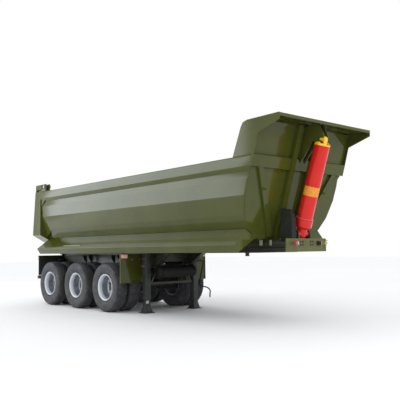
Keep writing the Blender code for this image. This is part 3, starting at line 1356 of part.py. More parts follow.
def build_axles():
    """Axle tubes with spindles, brake backplates, spring seats and brake gear."""
    for index in range(AXLE_COUNT):
        x = ahead(index * AXLE_SPACING)
        plate_in = DRUM_END_Y - BACKPLATE_GAP - BACKPLATE_THICKNESS
        plate_out = DRUM_END_Y - BACKPLATE_GAP
        half = [
            (0, SPINDLE_END_Y),
            (SPINDLE_RADIUS, SPINDLE_END_Y),
            (SPINDLE_RADIUS, plate_out),
            (BACKPLATE_RADIUS, plate_out),
            (BACKPLATE_RADIUS, plate_in),
            (AXLE_RADIUS, plate_in),
        ]
        profile = half + [(radius, -y) for radius, y in reversed(half)]
        solids = [turned(profile, (x, 0, TYRE_RADIUS), (0, 1, 0))]
        for sign in (-1, 1):
            y = sign * SPRING_Y
            reach = SPRING_WIDTH / 2
            solids.append(block((x - AXLE_RADIUS, y - reach, TYRE_RADIUS),
                                (x + AXLE_RADIUS, y + reach, TYRE_RADIUS + SPRING_SEAT_RISE)))
            solids += brake_gear(x, sign)
        node("axle_" + str(index + 1), solids, "cast_steel")


def tyre_profile(centre):
    """Cross-section of one tyre, as (radius, y) points around its middle plane."""
    spread = 1 / math.cos(math.pi / WHEEL_SEGMENTS)
    bead = RIM_SEAT_RADIUS + SEAT
    rise = TYRE_RADIUS - FLANGE_RADIUS
    half = [(bead, BEAD_HALF_WIDTH), (FLANGE_RADIUS + SINK, BEAD_HALF_WIDTH + SINK)]
    half += [(FLANGE_RADIUS + high * rise, wide * TYRE_HALF_WIDTH) for high, wide in TYRE_WALL_SHARES]
    points = half + [(radius, -y) for radius, y in reversed(half)]
    return [(radius * spread, centre + y) for radius, y in points]


def wheel_profile():
    """Cross-section of the twin wheel: deep outer dish, rim sleeve, inner rim, brake drum and hub."""
    spread = 1 / math.cos(math.pi / WHEEL_SEGMENTS)
    inner_y = OUTER_TYRE_Y - TWIN_SPACING
    outer_edge = OUTER_TYRE_Y + RIM_HALF_WIDTH
    inner_edge = inner_y - RIM_HALF_WIDTH
    seat_out = OUTER_TYRE_Y + BEAD_HALF_WIDTH + SEAT
    seat_in = inner_y - BEAD_HALF_WIDTH - SEAT
    rounding = SHEET_STEP + SINK
    points = [
        (0, HUB_END_Y),
        (HUB_CAP_SHARE * HUB_RADIUS, HUB_END_Y - SHEET_STEP),
        (HUB_RADIUS, DISC_Y + rounding),
        (DISC_FOOT_SHARE * RIM_BORE_RADIUS, DISC_Y),
        (RIM_BORE_RADIUS, DISC_Y + DISH_RISE),
        (RIM_BORE_RADIUS, outer_edge - 2 * rounding),
        (FLANGE_RADIUS - SINK, outer_edge),
        (FLANGE_RADIUS, outer_edge - rounding),
        (RIM_SEAT_RADIUS, seat_out),
        (RIM_SEAT_RADIUS, seat_in),
        (FLANGE_RADIUS, inner_edge + rounding),
        (FLANGE_RADIUS - SINK, inner_edge),
        (RIM_BORE_RADIUS, inner_edge + 2 * rounding),
        (RIM_BORE_RADIUS, DISC_Y - RIM_HALF_WIDTH),
        (DRUM_RADIUS, DISC_Y - RIM_HALF_WIDTH / 2),
        (DRUM_RADIUS, DRUM_END_Y),
        (SPINDLE_RADIUS + SEAT, DRUM_END_Y),
        (SPINDLE_RADIUS + SEAT, SPINDLE_BORE_END_Y),
        (0, SPINDLE_BORE_END_Y),
    ]
    return [(radius * spread, y) for radius, y in points]


def build_wheels():
    """Six twin wheels: each has a wheel with hub and drum, an outer tyre and an inner tyre."""
    for index in range(AXLE_COUNT):
        x = ahead(index * AXLE_SPACING)
        for side, sign in sides():
            centre = (x, 0, TYRE_RADIUS)
            direction = (0, sign, 0)
            tag = side + "_" + str(index + 1)
            for place, y in (("outer", OUTER_TYRE_Y), ("inner", OUTER_TYRE_Y - TWIN_SPACING)):
                tyre = turned(tyre_profile(y), centre, direction, WHEEL_SEGMENTS)
                node("tyre_" + place + "_" + tag, [tyre], "tyre_rubber", pivot=centre, smooth=True)
            wheel = turned(wheel_profile(), centre, direction, WHEEL_SEGMENTS)
            node("wheel_" + tag, [wheel], "wheel_silver", pivot=centre, smooth=True)


def main():
    clear_scene()
    build_tub()
    build_rails()
    build_front_wall()
    build_front_frame()
    build_canopy()
    build_rear_frame()
    build_tailgate()
    build_skirts()
    build_subframe()
    build_chassis_frame()
    build_coupling()
    build_cradle()
    build_hose_guard()
    build_cylinder()
    build_landing_gear()
    build_air_tank()
    build_guard_panels()
    build_rear_guard()
    build_suspension()
    build_axles()
    build_wheels()


main()
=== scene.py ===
"""Looks of the dump semi-trailer: enamelled sheet, tyres, wheels, cylinder, running gear and a camera.

Metres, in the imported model's frame: X to the kingpin end, Y to the trailer's left, Z up.
Names that end in AHEAD are distances ahead of the rear axle.
"""

import math

import bmesh
import bpy
import numpy as np
from mathutils import Matrix, Vector


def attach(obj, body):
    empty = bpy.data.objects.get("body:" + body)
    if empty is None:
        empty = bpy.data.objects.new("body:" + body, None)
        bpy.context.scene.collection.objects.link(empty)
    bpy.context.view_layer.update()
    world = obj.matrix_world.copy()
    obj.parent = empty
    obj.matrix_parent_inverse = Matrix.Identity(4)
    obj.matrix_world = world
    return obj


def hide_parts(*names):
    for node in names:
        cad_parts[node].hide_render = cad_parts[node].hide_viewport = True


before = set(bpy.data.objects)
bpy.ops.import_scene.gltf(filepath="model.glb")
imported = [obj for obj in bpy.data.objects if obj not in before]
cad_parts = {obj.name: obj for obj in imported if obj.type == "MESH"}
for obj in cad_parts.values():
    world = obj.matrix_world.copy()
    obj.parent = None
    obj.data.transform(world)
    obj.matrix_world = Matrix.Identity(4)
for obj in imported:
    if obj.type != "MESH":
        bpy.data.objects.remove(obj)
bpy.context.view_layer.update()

# Camera, fitted to the photograph
CAMERA_PLACE = (10.5755, -8.244, 1.359)
CAMERA_YAW = 49.218
CAMERA_PITCH = 4.686
CAMERA_ROLL = -0.809
CAMERA_LENS = 53.566
SENSOR = 36.0

# Where the CAD stands
REAR_AXLE_X = -3.4415
AXLE_SPACING = 1.310
AXLE_Z = 0.542
WALL_FOOT_AHEAD = 6.760
WALL_LEAN = 0.322
TUB_BOTTOM = 1.512
TUB_REAR_AHEAD = -0.4997
RAIL_TOP = 2.906
CROSSBEAM_TOP = 2.903
HALF_WIDTH = 1.250
WEB_FACE = 0.5428
PLATE_AHEAD = 7.304
TAIL_AHEAD = -0.660
GUARD_AHEAD = 3.200
LEG_AHEAD = 3.430
TANK_AHEAD = 3.640
SKIRT_REAR_AHEAD = -0.490
SKIRT_FRONT_AHEAD = 6.780
GUSSET_AHEAD = -0.487
GUSSET_PITCH = 1.4508
GATE_PIN_AHEAD = -0.330
GATE_PIN_Z = 3.030
TANK_Z = 0.875
LEG_Y = 0.669
SPRING_Y = 0.480
TUB_SECTION = (
    (1.2030, 2.6487), (1.2180, 2.5210), (1.2100, 2.2480), (1.1200, 1.9200),
    (0.9588, 1.6851), (0.7830, 1.5860), (0.6400, 1.5120),
)
SKIRT_LINE = ((0.972, 1.690), (1.250, 1.417), (1.165, 1.286))
SKIRT_GUSSET = (
    (0.9702, 1.6880), (1.247, 1.417), (1.162, 1.289),
    (0.7111, 1.5487), (0.7829, 1.5857), (0.9586, 1.6848),
)
SHEET = 0.010
CLEAR = 0.0003

# Directions and sides
FORWARD = (1, 0, 0)
LEFTWARD = (0, 1, 0)
UPWARD = (0, 0, 1)
SIDES = (("left", 1), ("right", -1))

# Roles: the body that a piece rides on, and the slot of its material
BODY_SHEET = ("dump_body", "olive_paint")
FRAME_SHEET = ("chassis", "olive_paint")
FRAME_BEAM = ("chassis", "chassis_paint")
FRAME_CASTING = ("chassis", "cast_steel")
FRAME_BOLT = ("chassis", "polished_steel")
FRAME_PLASTIC = ("chassis", "black_plastic")
FRAME_LENS = ("chassis", "lamp_red")

# Tyre: shares of the half tread's width with a 1 where a groove runs, and (side, radius) points
TREAD_LUGS = 56
TREAD_HALF = 0.116
TREAD_CROWN = 0.013
TREAD_DEPTH = 0.013
TREAD_ZIGZAG = 0.006
TREAD_COLUMNS = (0.0, 0.10, 0.13, 0.20, 0.235, 0.40, 0.43, 0.50, 0.535, 0.66, 0.80, 0.88, 0.94, 1.0)
TREAD_GROOVES = (0, 0, 1, 1, 0, 0, 1, 1, 0, 0, 0, 0, 0, 0)
TYRE_SHOULDER = ((0.1235, 0.5240), (0.1315, 0.5130))
TYRE_WALL = (
    (0.1385, 0.4990), (0.1435, 0.4750), (0.1460, 0.4450), (0.1455, 0.4150), (0.1410, 0.3830),
    (0.1320, 0.3520), (0.1190, 0.3210), (0.1040, 0.3030), (0.0965, 0.2960), (0.0915, 0.2930),
    (0.0900, 0.2885), (0.0900, 0.2725),
)
WHEEL_NUTS = 10
WELD_PITCH = 0.012
HALF_SPRING = 0.520
CAMBER = 0.060


def ahead(distance):
    """World X of a place so far ahead of the rear axle."""
    return REAR_AXLE_X + distance


def wall_x(z):
    """World X of the leaning front wall's outer face at a height."""
    return ahead(WALL_FOOT_AHEAD) + WALL_LEAN * (np.asarray(z) - TUB_BOTTOM)


def grid_faces(rows, columns, ring_rows=False, ring_columns=False, start=0):
    """Quads of a grid of points stored row by row; a ring joins its last row or column to its first. Each
    shape below is an array of points with a list of such faces."""
    i = np.arange(rows if ring_rows else rows - 1)[:, None]
    j = np.arange(columns if ring_columns else columns - 1)[None, :]
    i_next = (i + 1) % rows
    j_next = (j + 1) % columns
    corners = (i * columns + j, i * columns + j_next, i_next * columns + j_next, i_next * columns + j)
    quads = np.stack(corners, -1)
    return (quads.reshape(-1, 4) + start).tolist()


def with_lids(rows, count):
    """Quads of a grid whose columns close a ring, and a lid over its first and its last row."""
    last = (rows - 1) * count
    return grid_faces(rows, count, ring_columns=True) + [list(range(count)), list(range(last, last + count))]


def eased(points, radius, steps=4, closed=True):
    """An outline whose corners become short parabolas: each starts and ends one tangent length from the
    corner, radius / tan(half the corner's angle), and never takes more than 0.45 of a side."""
    corner = np.asarray(points, float)
    back = np.roll(corner, 1, 0) - corner
    on = np.roll(corner, -1, 0) - corner
    back_length = np.linalg.norm(back, axis=1)
    on_length = np.linalg.norm(on, axis=1)
    back /= back_length[:, None]
    on /= on_length[:, None]
    half_angle = np.arccos(np.clip((back * on).sum(1), -1, 1)) / 2
    reach = np.minimum(radius / np.tan(half_angle), 0.45 * np.minimum(back_length, on_length))
    share = np.linspace(0, 1, steps + 1)[None, :, None]
    start = (corner + back * reach[:, None])[:, None, :]
    end = (corner + on * reach[:, None])[:, None, :]
    arcs = (1 - share) ** 2 * start + 2 * share * (1 - share) * corner[:, None, :] + share ** 2 * end
    if closed:
        return arcs.reshape(-1, corner.shape[1])
    return np.concatenate((corner[:1], arcs[1:-1].reshape(-1, corner.shape[1]), corner[-1:]))


def sideways(line, distance):
    """An open flat line moved by a distance along its normals, with mitred bends."""
    line = np.asarray(line, float)
    run = np.diff(line, axis=0)
    run /= np.linalg.norm(run, axis=1)[:, None]
    normal = np.stack((run[:, 1], -run[:, 0]), 1)
    first = np.concatenate((normal[:1], normal))
    last = np.concatenate((normal, normal[-1:]))
    middle = first + last
    middle /= np.linalg.norm(middle, axis=1)[:, None]
    return line + middle * (distance / (middle * first).sum(1))[:, None]


def placed(flat, along, axis):
    """Points in space from flat points and their place along an axis."""
    along = np.broadcast_to(along, flat.shape[:1])
    columns = {"x": (along, flat[:, 0], flat[:, 1]), "y": (flat[:, 0], along, flat[:, 1]),
               "z": (flat[:, 0], flat[:, 1], along)}[axis]
    return np.stack(columns, 1)


def end_places(value, flat):
    """A place along the axis as a plain number, or as a rule of the flat points."""
    return value(flat) if callable(value) else value


def extruded(outline, axis, low, high):
    """A closed outline carried along an axis from low to high, closed by two flat ends."""
    flat = np.asarray(outline, float)
    points = np.concatenate([placed(flat, end_places(end, flat), axis) for end in (low, high)])
    return points, with_lids(2, len(flat))


def folded(line, low, high, radius):
    """A sheet folded along an open (y, z) line with eased bends, carried along X: four lines of points, the
    outer and inner one at both ends, joined round by quads."""
    outer = eased(line, radius, 5, closed=False)
    inner = sideways(outer, SHEET)
    rows = [placed(outer, end_places(low, outer), "x"), placed(outer, end_places(high, outer), "x"),
            placed(inner, end_places(high, inner), "x"), placed(inner, end_places(low, inner), "x")]
    count = len(outer)
    caps = [[k * count + j for k in range(4)] for j in (0, count - 1)]
    return np.concatenate(rows), grid_faces(4, count, ring_rows=True) + caps


def axes_of(direction):
    """Two unit vectors across a direction, and the one along it."""
    along = np.asarray(direction, float)
    along = along / np.linalg.norm(along)
    side = (0, 0, 1) if abs(along[2]) < 0.9 else (1, 0, 0)
    first = np.asarray(side, float) - np.dot(side, along) * along
    first = first / np.linalg.norm(first)
    return first, np.cross(along, first), along


def turned(profile, centre, direction, segments, ring=False):
    """(radius, along) points turned about an axis: point = centre + along * axis + radius * (cos a, sin a)
    in the plane across it. The profile ends on the axis, or is a closed ring."""
    profile = np.asarray(profile, float)
    first, second, along = axes_of(direction)
    angle = np.arange(segments) * 2 * np.pi / segments
    spoke = np.cos(angle)[:, None] * first + np.sin(angle)[:, None] * second
    points = np.asarray(centre, float) + profile[:, None, 1:] * along + profile[:, None, :1] * spoke
    return points.reshape(-1, 3), grid_faces(len(profile), segments, ring, ring_columns=True)


def swept(section, path, side):
    """A closed flat section carried along a path; its first axis stays nearest to side, if given, and at
    each bend the section stands on the bisecting plane."""
    section = np.asarray(section, float)
    path = np.asarray(path, float)
    run = np.diff(path, axis=0)
    run /= np.linalg.norm(run, axis=1)[:, None]
    tangent = np.concatenate((run[:1], run[:-1] + run[1:], run[-1:]))
    tangent /= np.linalg.norm(tangent, axis=1)[:, None]
    side = np.asarray(axes_of(run[0])[0] if side is None else side, float)
    first = side - (tangent @ side)[:, None] * tangent
    first /= np.linalg.norm(first, axis=1)[:, None]
    second = np.cross(tangent, first)
    points = path[:, None] + section[None, :, :1] * first[:, None] + section[None, :, 1:] * second[:, None]
    return points.reshape(-1, 3), with_lids(len(path), len(section))


def rectangle(width, height):
    """A rectangle about zero."""
    x, y = width / 2, height / 2
    return np.array([(-x, -y), (x, -y), (x, y), (-x, y)])


def circle(radius, segments):
    """A regular polygon about zero."""
    angle = np.arange(segments) * 2 * np.pi / segments
    return np.stack((radius * np.cos(angle), radius * np.sin(angle)), 1)


def bar(start, end, width, height, side):
    """A straight square-edged bar between two points; width runs nearest to side."""
    return swept(rectangle(width, height), [start, end], side)


def block(low, high):
    """A square-edged box between two corners."""
    outline = [(low[0], low[1]), (high[0], low[1]), (high[0], high[1]), (low[0], high[1])]
    return extruded(outline, "z", low[2], high[2])


def slab(side, low, high):
    """A square-edged box given for the left side, or its mirror image where side is -1."""
    return block((low[0], side * low[1], low[2]), (high[0], side * high[1], high[2]))


def tube(path, radius, segments=12, side=None):
    """A round bar along a path."""
    return swept(circle(radius, segments), path, side)


def smooth_path(points, steps=6):
    """A path whose bends are eased."""
    corner = np.asarray(points, float)
    before, here, after = corner[:-2], corner[1:-1], corner[2:]
    share = np.linspace(0, 1, steps + 1)[None, :, None]
    start = (here + (before - here) * 0.4)[:, None]
    end = (here + (after - here) * 0.4)[:, None]
    arcs = (1 - share) ** 2 * start + 2 * share * (1 - share) * here[:, None] + share ** 2 * end
    return np.concatenate((corner[:1], arcs.reshape(-1, 3), corner[-1:]))


def button(radius, shoulder, top_radius, top, low=0.0):
    """The profile of a round head: straight up to its shoulder, then chamfered to its top."""
    return [(0, low), (radius, low), (radius, shoulder), (top_radius, top), (0, top)]


def nut(centre, direction, across, height):
    """A hexagon nut: six flats and a chamfered rim."""
    radius = across / math.sqrt(3)
    return turned(button(radius, 0.75 * height, 0.82 * radius, height), centre, direction, 6)


def weld(path, radius):
    """A weld bead: a thin round bar whose radius swells once in each pitch."""
    path = np.asarray(path, float)
    length = np.linalg.norm(path[-1] - path[0])
    steps = max(4, int(2 * length / WELD_PITCH))
    share = np.linspace(0, 1, steps + 1)[:, None]
    line = path[0] * (1 - share) + path[-1] * share
    first, second, _ = axes_of(path[-1] - path[0])
    swell = radius * (1 + 0.25 * np.cos(np.pi * np.arange(steps + 1)))
    ring = circle(1, 6)
    points = line[:, None] + swell[:, None, None] * (ring[:, :1] * first + ring[:, 1:] * second)[None]
    return points.reshape(-1, 3), with_lids(steps + 1, 6)


def mirrored(shape):
    """The same shape on the other side of the trailer."""
    points, faces = shape
    return points * np.array((1, -1, 1)), [face[::-1] for face in faces]


def mirror_all(shapes):
    """The mirror images of the shapes."""
    return [mirrored(shape) for shape in shapes]


def both_sides(shapes):
    """The shapes and their mirror images."""
    return list(shapes) + mirror_all(shapes)


# What makes left shapes into those of a side
SIDED = (("left", list), ("right", mirror_all))


def two_ended(half):
    """A profile for turning from its left half, carried on to the right end."""
    return half + [(radius, -along) for radius, along in reversed(half)]


def mesh_of(name, shapes):
    """One mesh from several closed shapes, with doubles merged and faces turned outward."""
    points = []
    faces = []
    start = 0
    for shape_points, shape_faces in shapes:
        points.append(shape_points)
        faces += [[index + start for index in face] for face in shape_faces]
        start += len(shape_points)
    mesh = bpy.data.meshes.new(name)
    mesh.from_pydata(np.concatenate(points).tolist(), [], faces)
    bm = bmesh.new()
    bm.from_mesh(mesh)
    bmesh.ops.remove_doubles(bm, verts=bm.verts, dist=1e-6)
    bmesh.ops.dissolve_degenerate(bm, edges=bm.edges, dist=1e-6)
    bmesh.ops.recalc_face_normals(bm, faces=bm.faces)
    bm.to_mesh(mesh)
    bm.free()
    return mesh


def dressed(name, mesh, look, role, replaces, edge, angle=32):
    """A new piece with smooth shading below an angle, its sharp edges rounded if asked, and its finish. It
    is attached to the body that it rides on, and the CAD nodes that it stands for are hidden."""
    mesh.shade_smooth()
    mesh.set_sharp_from_angle(angle=math.radians(angle))
    mesh.materials.clear()
    mesh.materials.append(look)
    piece = bpy.data.objects.new(name, mesh)
    bpy.context.scene.collection.objects.link(piece)
    if edge:
        step = piece.modifiers.new("edges", "BEVEL")
        step.width = edge
        step.segments = 2
        step.limit_method = "ANGLE"
        step.angle_limit = math.radians(35)
        step.use_clamp_overlap = True
        step.harden_normals = True
    body, slot = role
    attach(piece, body)
    if replaces:
        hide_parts(*replaces)


def piece(name, shapes, look, role, replaces=(), edge=0.0, angle=32):
    """A piece from shapes."""
    dressed(name, mesh_of(name, shapes), look, role, replaces, edge, angle)


def softened(name, look, role, width):
    """A merged copy of a CAD node with rounded edges, which stands for the node."""
    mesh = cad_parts[name].data.copy()
    bm = bmesh.new()
    bm.from_mesh(mesh)
    bmesh.ops.remove_doubles(bm, verts=bm.verts, dist=1e-5)
    bmesh.ops.dissolve_limit(bm, angle_limit=math.radians(1), verts=bm.verts, edges=bm.edges)
    bmesh.ops.recalc_face_normals(bm, faces=bm.faces)
    bm.to_mesh(mesh)
    bm.free()
    dressed(name + "_softened", mesh, look, role, (name,), width)


def linear(code):
    """An sRGB hex code as linear red, green and blue, with an alpha of 1."""
    parts = np.array([int(code[i:i + 2], 16) for i in (0, 2, 4)]) / 255
    light = np.where(parts <= 0.04045, parts / 12.92, ((parts + 0.055) / 1.055) ** 2.4)
    return (*light.tolist(), 1.0)


def add(tree, kind, sockets=None, **settings):
    """Adds a node; sockets are values to set or other nodes' sockets to link."""
    made = tree.nodes.new("ShaderNode" + kind)
    for name, value in settings.items():
        setattr(made, name, value)
    for name, value in (sockets or {}).items():
        if isinstance(value, bpy.types.NodeSocket):
            tree.links.new(value, made.inputs[name])
        else:
            made.inputs[name].default_value = value
    return made


def finish(name, shades, roughness, mottle, peel=None, wave=None, **shader):
    """A finish: its colour drifts between shades with a noise of the mottle's size, its roughness between
    two values, and two bumps, peel and wave, each a (size, height) pair in metres, shape its surface."""
    made = bpy.data.materials.new(name)
    made.use_nodes = True
    tree = made.node_tree
    principled = tree.nodes["Principled BSDF"]
    place = add(tree, "TexCoord").outputs["Object"]
    drift = add(tree, "TexNoise", {"Vector": place, "Scale": 1 / mottle, "Detail": 5.0, "Roughness": 0.6})
    ramp = add(tree, "ValToRGB", {"Fac": drift.outputs["Fac"]})
    stops = ramp.color_ramp.elements
    places = np.linspace(0.32, 0.68, len(shades))
    for index, (stop_place, shade) in enumerate(zip(places, shades)):
        stop = stops[index] if index < 2 else stops.new(float(stop_place))
        stop.position = float(stop_place)
        stop.color = linear(shade)
    tree.links.new(ramp.outputs["Color"], principled.inputs["Base Color"])
    fine = add(tree, "TexNoise", {"Vector": place, "Scale": 2.7 / mottle, "Detail": 6.0, "Roughness": 0.65})
    rough = add(tree, "MapRange", {"Value": fine.outputs["Fac"], "From Min": 0.3, "From Max": 0.7,
                                   "To Min": roughness[0], "To Max": roughness[1]})
    tree.links.new(rough.outputs["Result"], principled.inputs["Roughness"])
    normal = None
    for bump in (wave, peel):
        if bump:
            size, height = bump
            noise = add(tree, "TexNoise", {"Vector": place, "Scale": 1 / size, "Detail": 2.0})
            sockets = {"Height": noise.outputs["Fac"], "Distance": height, "Strength": 1.0}
            if normal:
                sockets["Normal"] = normal
            normal = add(tree, "Bump", sockets).outputs["Normal"]
    if normal:
        tree.links.new(normal, principled.inputs["Normal"])
    for socket, value in shader.items():
        principled.inputs[socket.replace("_", " ").title().replace("Ior", "IOR")].default_value = value
    return made


# Sprayed two-layer enamel on folded steel sheet: a deep olive under a clear gloss. The coat mirrors the sky
# as a pale sheen, the sheet bulges a little between its folds, and dust dulls it in patches.
olive_enamel = finish("olive_enamel", ("414619", "474c1b", "4c5022"), (0.34, 0.50), mottle=0.9,
                      peel=(0.012, 0.00006), wave=(0.55, 0.0011), specular_ior_level=0.0, coat_weight=1.0,
                      coat_roughness=0.09, coat_ior=1.38)
# A brighter, more yellow and less flat copy of the olive enamel on the front plate and its strips: painted
# light, where the plate stands in stronger light than the rest.
olive_painted_light = finish("olive_painted_light", ("4a4c17", "54561b", "5d5f24"), (0.40, 0.55), mottle=0.4,
                       peel=(0.010, 0.00008), coat_weight=0.4, coat_roughness=0.12, coat_ior=1.38)
# The same enamel in its thinner satin coat on rolled beams, with road dust: darker and flatter.
chassis_enamel = finish("chassis_enamel", ("26281a", "2d2f20", "363727"), (0.42, 0.62), mottle=0.25,
                        peel=(0.010, 0.0002), specular_ior_level=0.3, coat_weight=0.3, coat_roughness=0.25)
# Vulcanised rubber with carbon black: matt, greyed by dust, a little smoother on the side wall.
tyre_rubber = finish("tyre_rubber", ("343437", "404043", "4f4e4e"), (0.62, 0.85), mottle=0.14,
                     peel=(0.006, 0.0003), ior=1.5)
# Aluminium-flake wheel paint on pressed steel: bright, slightly metallic, dulled by brake dust.
wheel_paint = finish("wheel_paint", ("8d929b", "aab0b9", "c6cad2"), (0.28, 0.50), mottle=0.10,
                     peel=(0.004, 0.00008), metallic=0.65)
# A paler, less metallic copy of the wheel paint on the rim's outer flange and the barrel's edge: a painted
# highlight, the bright ring that the flange catches.
wheel_paint_highlight = finish("wheel_paint_highlight", ("d3d7de", "e0e3e8"), (0.30, 0.42), mottle=0.10,
                            metallic=0.1)
# Signal-red gloss enamel sprayed on the ground cover tube: saturated with a crisp clear highlight.
red_enamel = finish("red_enamel", ("cc1b16", "d6231d"), (0.30, 0.40), mottle=0.30, peel=(0.008, 0.00005),
                    specular_ior_level=0.05, coat_weight=1.0, coat_roughness=0.10, coat_ior=1.38)
# Thick yellow enamel on a cast cap: the casting's skin shows through it.
yellow_enamel = finish("yellow_enamel", ("eeae08", "f8c20c", "fccb18"), (0.30, 0.45), mottle=0.05,
                       peel=(0.006, 0.0004), coat_weight=0.6, coat_roughness=0.12)
# The cylinder's red enamel on the bead round its foot, painted pale pink: a painted highlight, the light
# that the bead catches.
red_enamel_highlight = finish("red_enamel_highlight", ("d2766e", "e0928a"), (0.35, 0.50), mottle=0.04)
# Hard-chromed and ground tubes: a mirror with a faint satin.
hard_chrome = finish("hard_chrome", ("b9bcc0", "c6c9cc"), (0.08, 0.16), mottle=0.2, metallic=1.0)
# Forged and rolled spring steel and castings under primer and road film: dark, dry, mottled.
primed_steel = finish("primed_steel", ("2b2b2a", "383735", "4a4743"), (0.55, 0.80), mottle=0.09,
                      peel=(0.007, 0.0006), metallic=0.25)
# Zinc-plated fasteners and worn pins: pale grey metal.
zinc_plate = finish("zinc_plate", ("8c9096", "a4a8ad"), (0.30, 0.45), mottle=0.03, metallic=0.9)
# Injection-moulded black plastic: even, satin.
black_plastic = finish("black_plastic", ("161617", "1f1f20"), (0.40, 0.55), mottle=0.05,
                       peel=(0.002, 0.00008))
# Rubber sheet with a cloth core: mudflaps and hole plugs, matt and grey with dust.
rubber_sheet = finish("rubber_sheet", ("1d1d1e", "2a2a2a", "353432"), (0.60, 0.80), mottle=0.12,
                      peel=(0.004, 0.0002))
# Black alkyd enamel on the air tank and the crank, dulled by road film: dark and matt.
black_enamel = finish("black_enamel", ("10110d", "161712"), (0.60, 0.78), mottle=0.15, peel=(0.006, 0.00005),
                      specular_ior_level=0.3)
# Charcoal alkyd enamel of the landing legs, as they come from their maker: satin and slightly uneven.
leg_enamel = finish("leg_enamel", ("222424", "2b2d2d", "373939"), (0.42, 0.60), mottle=0.10)
# Pale nylon of the pads that guide the body on to the frame.
nylon_pad = finish("nylon_pad", ("767a64", "848872"), (0.50, 0.65), mottle=0.03)
# Green-black polyurethane paint on the thin hose cover: dull with a weak sheen.
guard_enamel = finish("guard_enamel", ("12160e", "1a2015"), (0.65, 0.80), mottle=0.10, peel=(0.004, 0.0002))


def lens(name, shades, roughness, **coat):
    """Moulded acrylic: a coloured prism plate under clear gloss."""
    return finish(name, shades, roughness, mottle=0.02, peel=(0.006, 0.0005), **coat)


# Sun-bleached acrylic of the position lamps, pale pink, and the sound lenses of the tail lamps.
pale_lens = lens("pale_lens", ("d9a391", "e6b9aa"), (0.12, 0.20), coat_weight=0.6)
red_lens = lens("red_lens", ("9c1515", "b01c1c"), (0.12, 0.20), coat_weight=1.0, coat_roughness=0.03)
amber_lens = lens("amber_lens", ("cf5a3a", "e0785a"), (0.12, 0.20), coat_weight=1.0, coat_roughness=0.03)
clear_lens = lens("clear_lens", ("cbb9b5", "e2d5d2"), (0.10, 0.18), coat_weight=1.0, coat_roughness=0.03)
# Red enamel of the air coupling, rubbed where hands hold it.
coupling_enamel = finish("coupling_enamel", ("a0443c", "b4584e"), (0.35, 0.50), mottle=0.02)
# The yellow air coupling's enamel, bleached by the sun.
faded_yellow = finish("faded_yellow", ("a89a30", "bcae48"), (0.40, 0.55), mottle=0.02)
# Blank vinyl stickers and plates and the pale rubber of the air seals: even and slightly glossy.
white_vinyl = finish("white_vinyl", ("b8b9ae", "c6c7bd"), (0.35, 0.45), mottle=0.05)
orange_vinyl = finish("orange_vinyl", ("e08a1e", "e69a2a"), (0.35, 0.45), mottle=0.05)
# The skirt's bare sticker, dulled by weather and road film: chalky, without gloss.
worn_vinyl = finish("worn_vinyl", ("83877a", "969a8b"), (0.60, 0.80), mottle=0.12)


def set_camera():
    """A camera at the photograph's place: it looks along its yaw and pitch, then rolls about that line."""
    yaw, pitch, roll = (math.radians(turn) for turn in (CAMERA_YAW, CAMERA_PITCH, CAMERA_ROLL))
    look = Vector((-math.sin(yaw) * math.cos(pitch), math.cos(yaw) * math.cos(pitch), math.sin(pitch)))
    level = Vector((math.cos(yaw), math.sin(yaw), 0))
    up = level.cross(look)
    right = level * math.cos(roll) + up * math.sin(roll)
    top = up * math.cos(roll) - level * math.sin(roll)
    data = bpy.data.cameras.new("camera")
    data.sensor_width = SENSOR
    data.lens = CAMERA_LENS
    data.clip_end = 500
    camera = bpy.data.objects.new("camera", data)
    bpy.context.scene.collection.objects.link(camera)
    turn = Matrix((right, top, -look)).transposed().to_4x4()
    camera.matrix_world = Matrix.Translation(CAMERA_PLACE) @ turn
    bpy.context.scene.camera = camera


def set_world():
    """A white surround for the camera, gloss and glass, and a softer sky for the light itself."""
    world = bpy.data.worlds.new("surround")
    world.use_nodes = True
    tree = world.node_tree
    tree.nodes.clear()
    path = add(tree, "LightPath")
    seen = add(tree, "Math", {0: path.outputs["Is Camera Ray"], 1: path.outputs["Is Glossy Ray"]},
               operation="MAXIMUM")
    clear = add(tree, "Math", {0: seen.outputs[0], 1: path.outputs["Is Transmission Ray"]},
                operation="MAXIMUM")
    sky = add(tree, "Background", {"Color": linear("fafbfd"), "Strength": 1.06})
    white = add(tree, "Background", {"Color": linear("ffffff"), "Strength": 1.0})
    mix = add(tree, "MixShader", {0: clear.outputs[0], 1: sky.outputs[0], 2: white.outputs[0]})
    out = add(tree, "OutputWorld")
    tree.links.new(mix.outputs[0], out.inputs["Surface"])
    bpy.context.scene.world = world


def lamp(name, place, aim, width, height, power, shade):
    """A wide soft lamp that looks at a point."""
    data = bpy.data.lights.new(name, "AREA")
    data.shape = "RECTANGLE"
    data.size = width
    data.size_y = height
    data.energy = power
    data.color = shade
    made = bpy.data.objects.new(name, data)
    bpy.context.scene.collection.objects.link(made)
    made.location = place
    made.rotation_euler = (Vector(aim) - Vector(place)).to_track_quat("-Z", "Y").to_euler()
    return made


def set_floor():
    """A plain pale floor under the tyres."""
    mesh = bpy.data.meshes.new("floor")
    reach = 60.0
    corners = [(-reach, -reach, 0), (reach, -reach, 0), (reach, reach, 0), (-reach, reach, 0)]
    mesh.from_pydata(corners, [], [(0, 1, 2, 3)])
    floor = bpy.data.objects.new("floor", mesh)
    bpy.context.scene.collection.objects.link(floor)
    mesh.materials.append(finish("pale_screed", ("f6f6f6", "f9f9f9"), (0.8, 0.9), mottle=6.0))


bpy.context.scene.view_settings.view_transform = "Standard"
set_camera()
set_world()
set_floor()
lamp("side_lamp", place=(-11.1, -9.8, 4.2), aim=(0, -1.2, 2.4), width=8.9, height=6.2, power=575,
     shade=(0.95, 1.0, 1.10))
lamp("front_lamp", place=(12.0, -1.0, 7.5), aim=(3.0, 0, 2.0), width=5.0, height=3.0, power=170,
     shade=(1, 1, 1))


def wall_face(flat):
    """The leaning wall's outer face."""
    return wall_x(flat[:, 1])


def tub_front(flat):
    """The tub's front edge follows the back of the leaning wall."""
    return wall_face(flat) - 0.0103


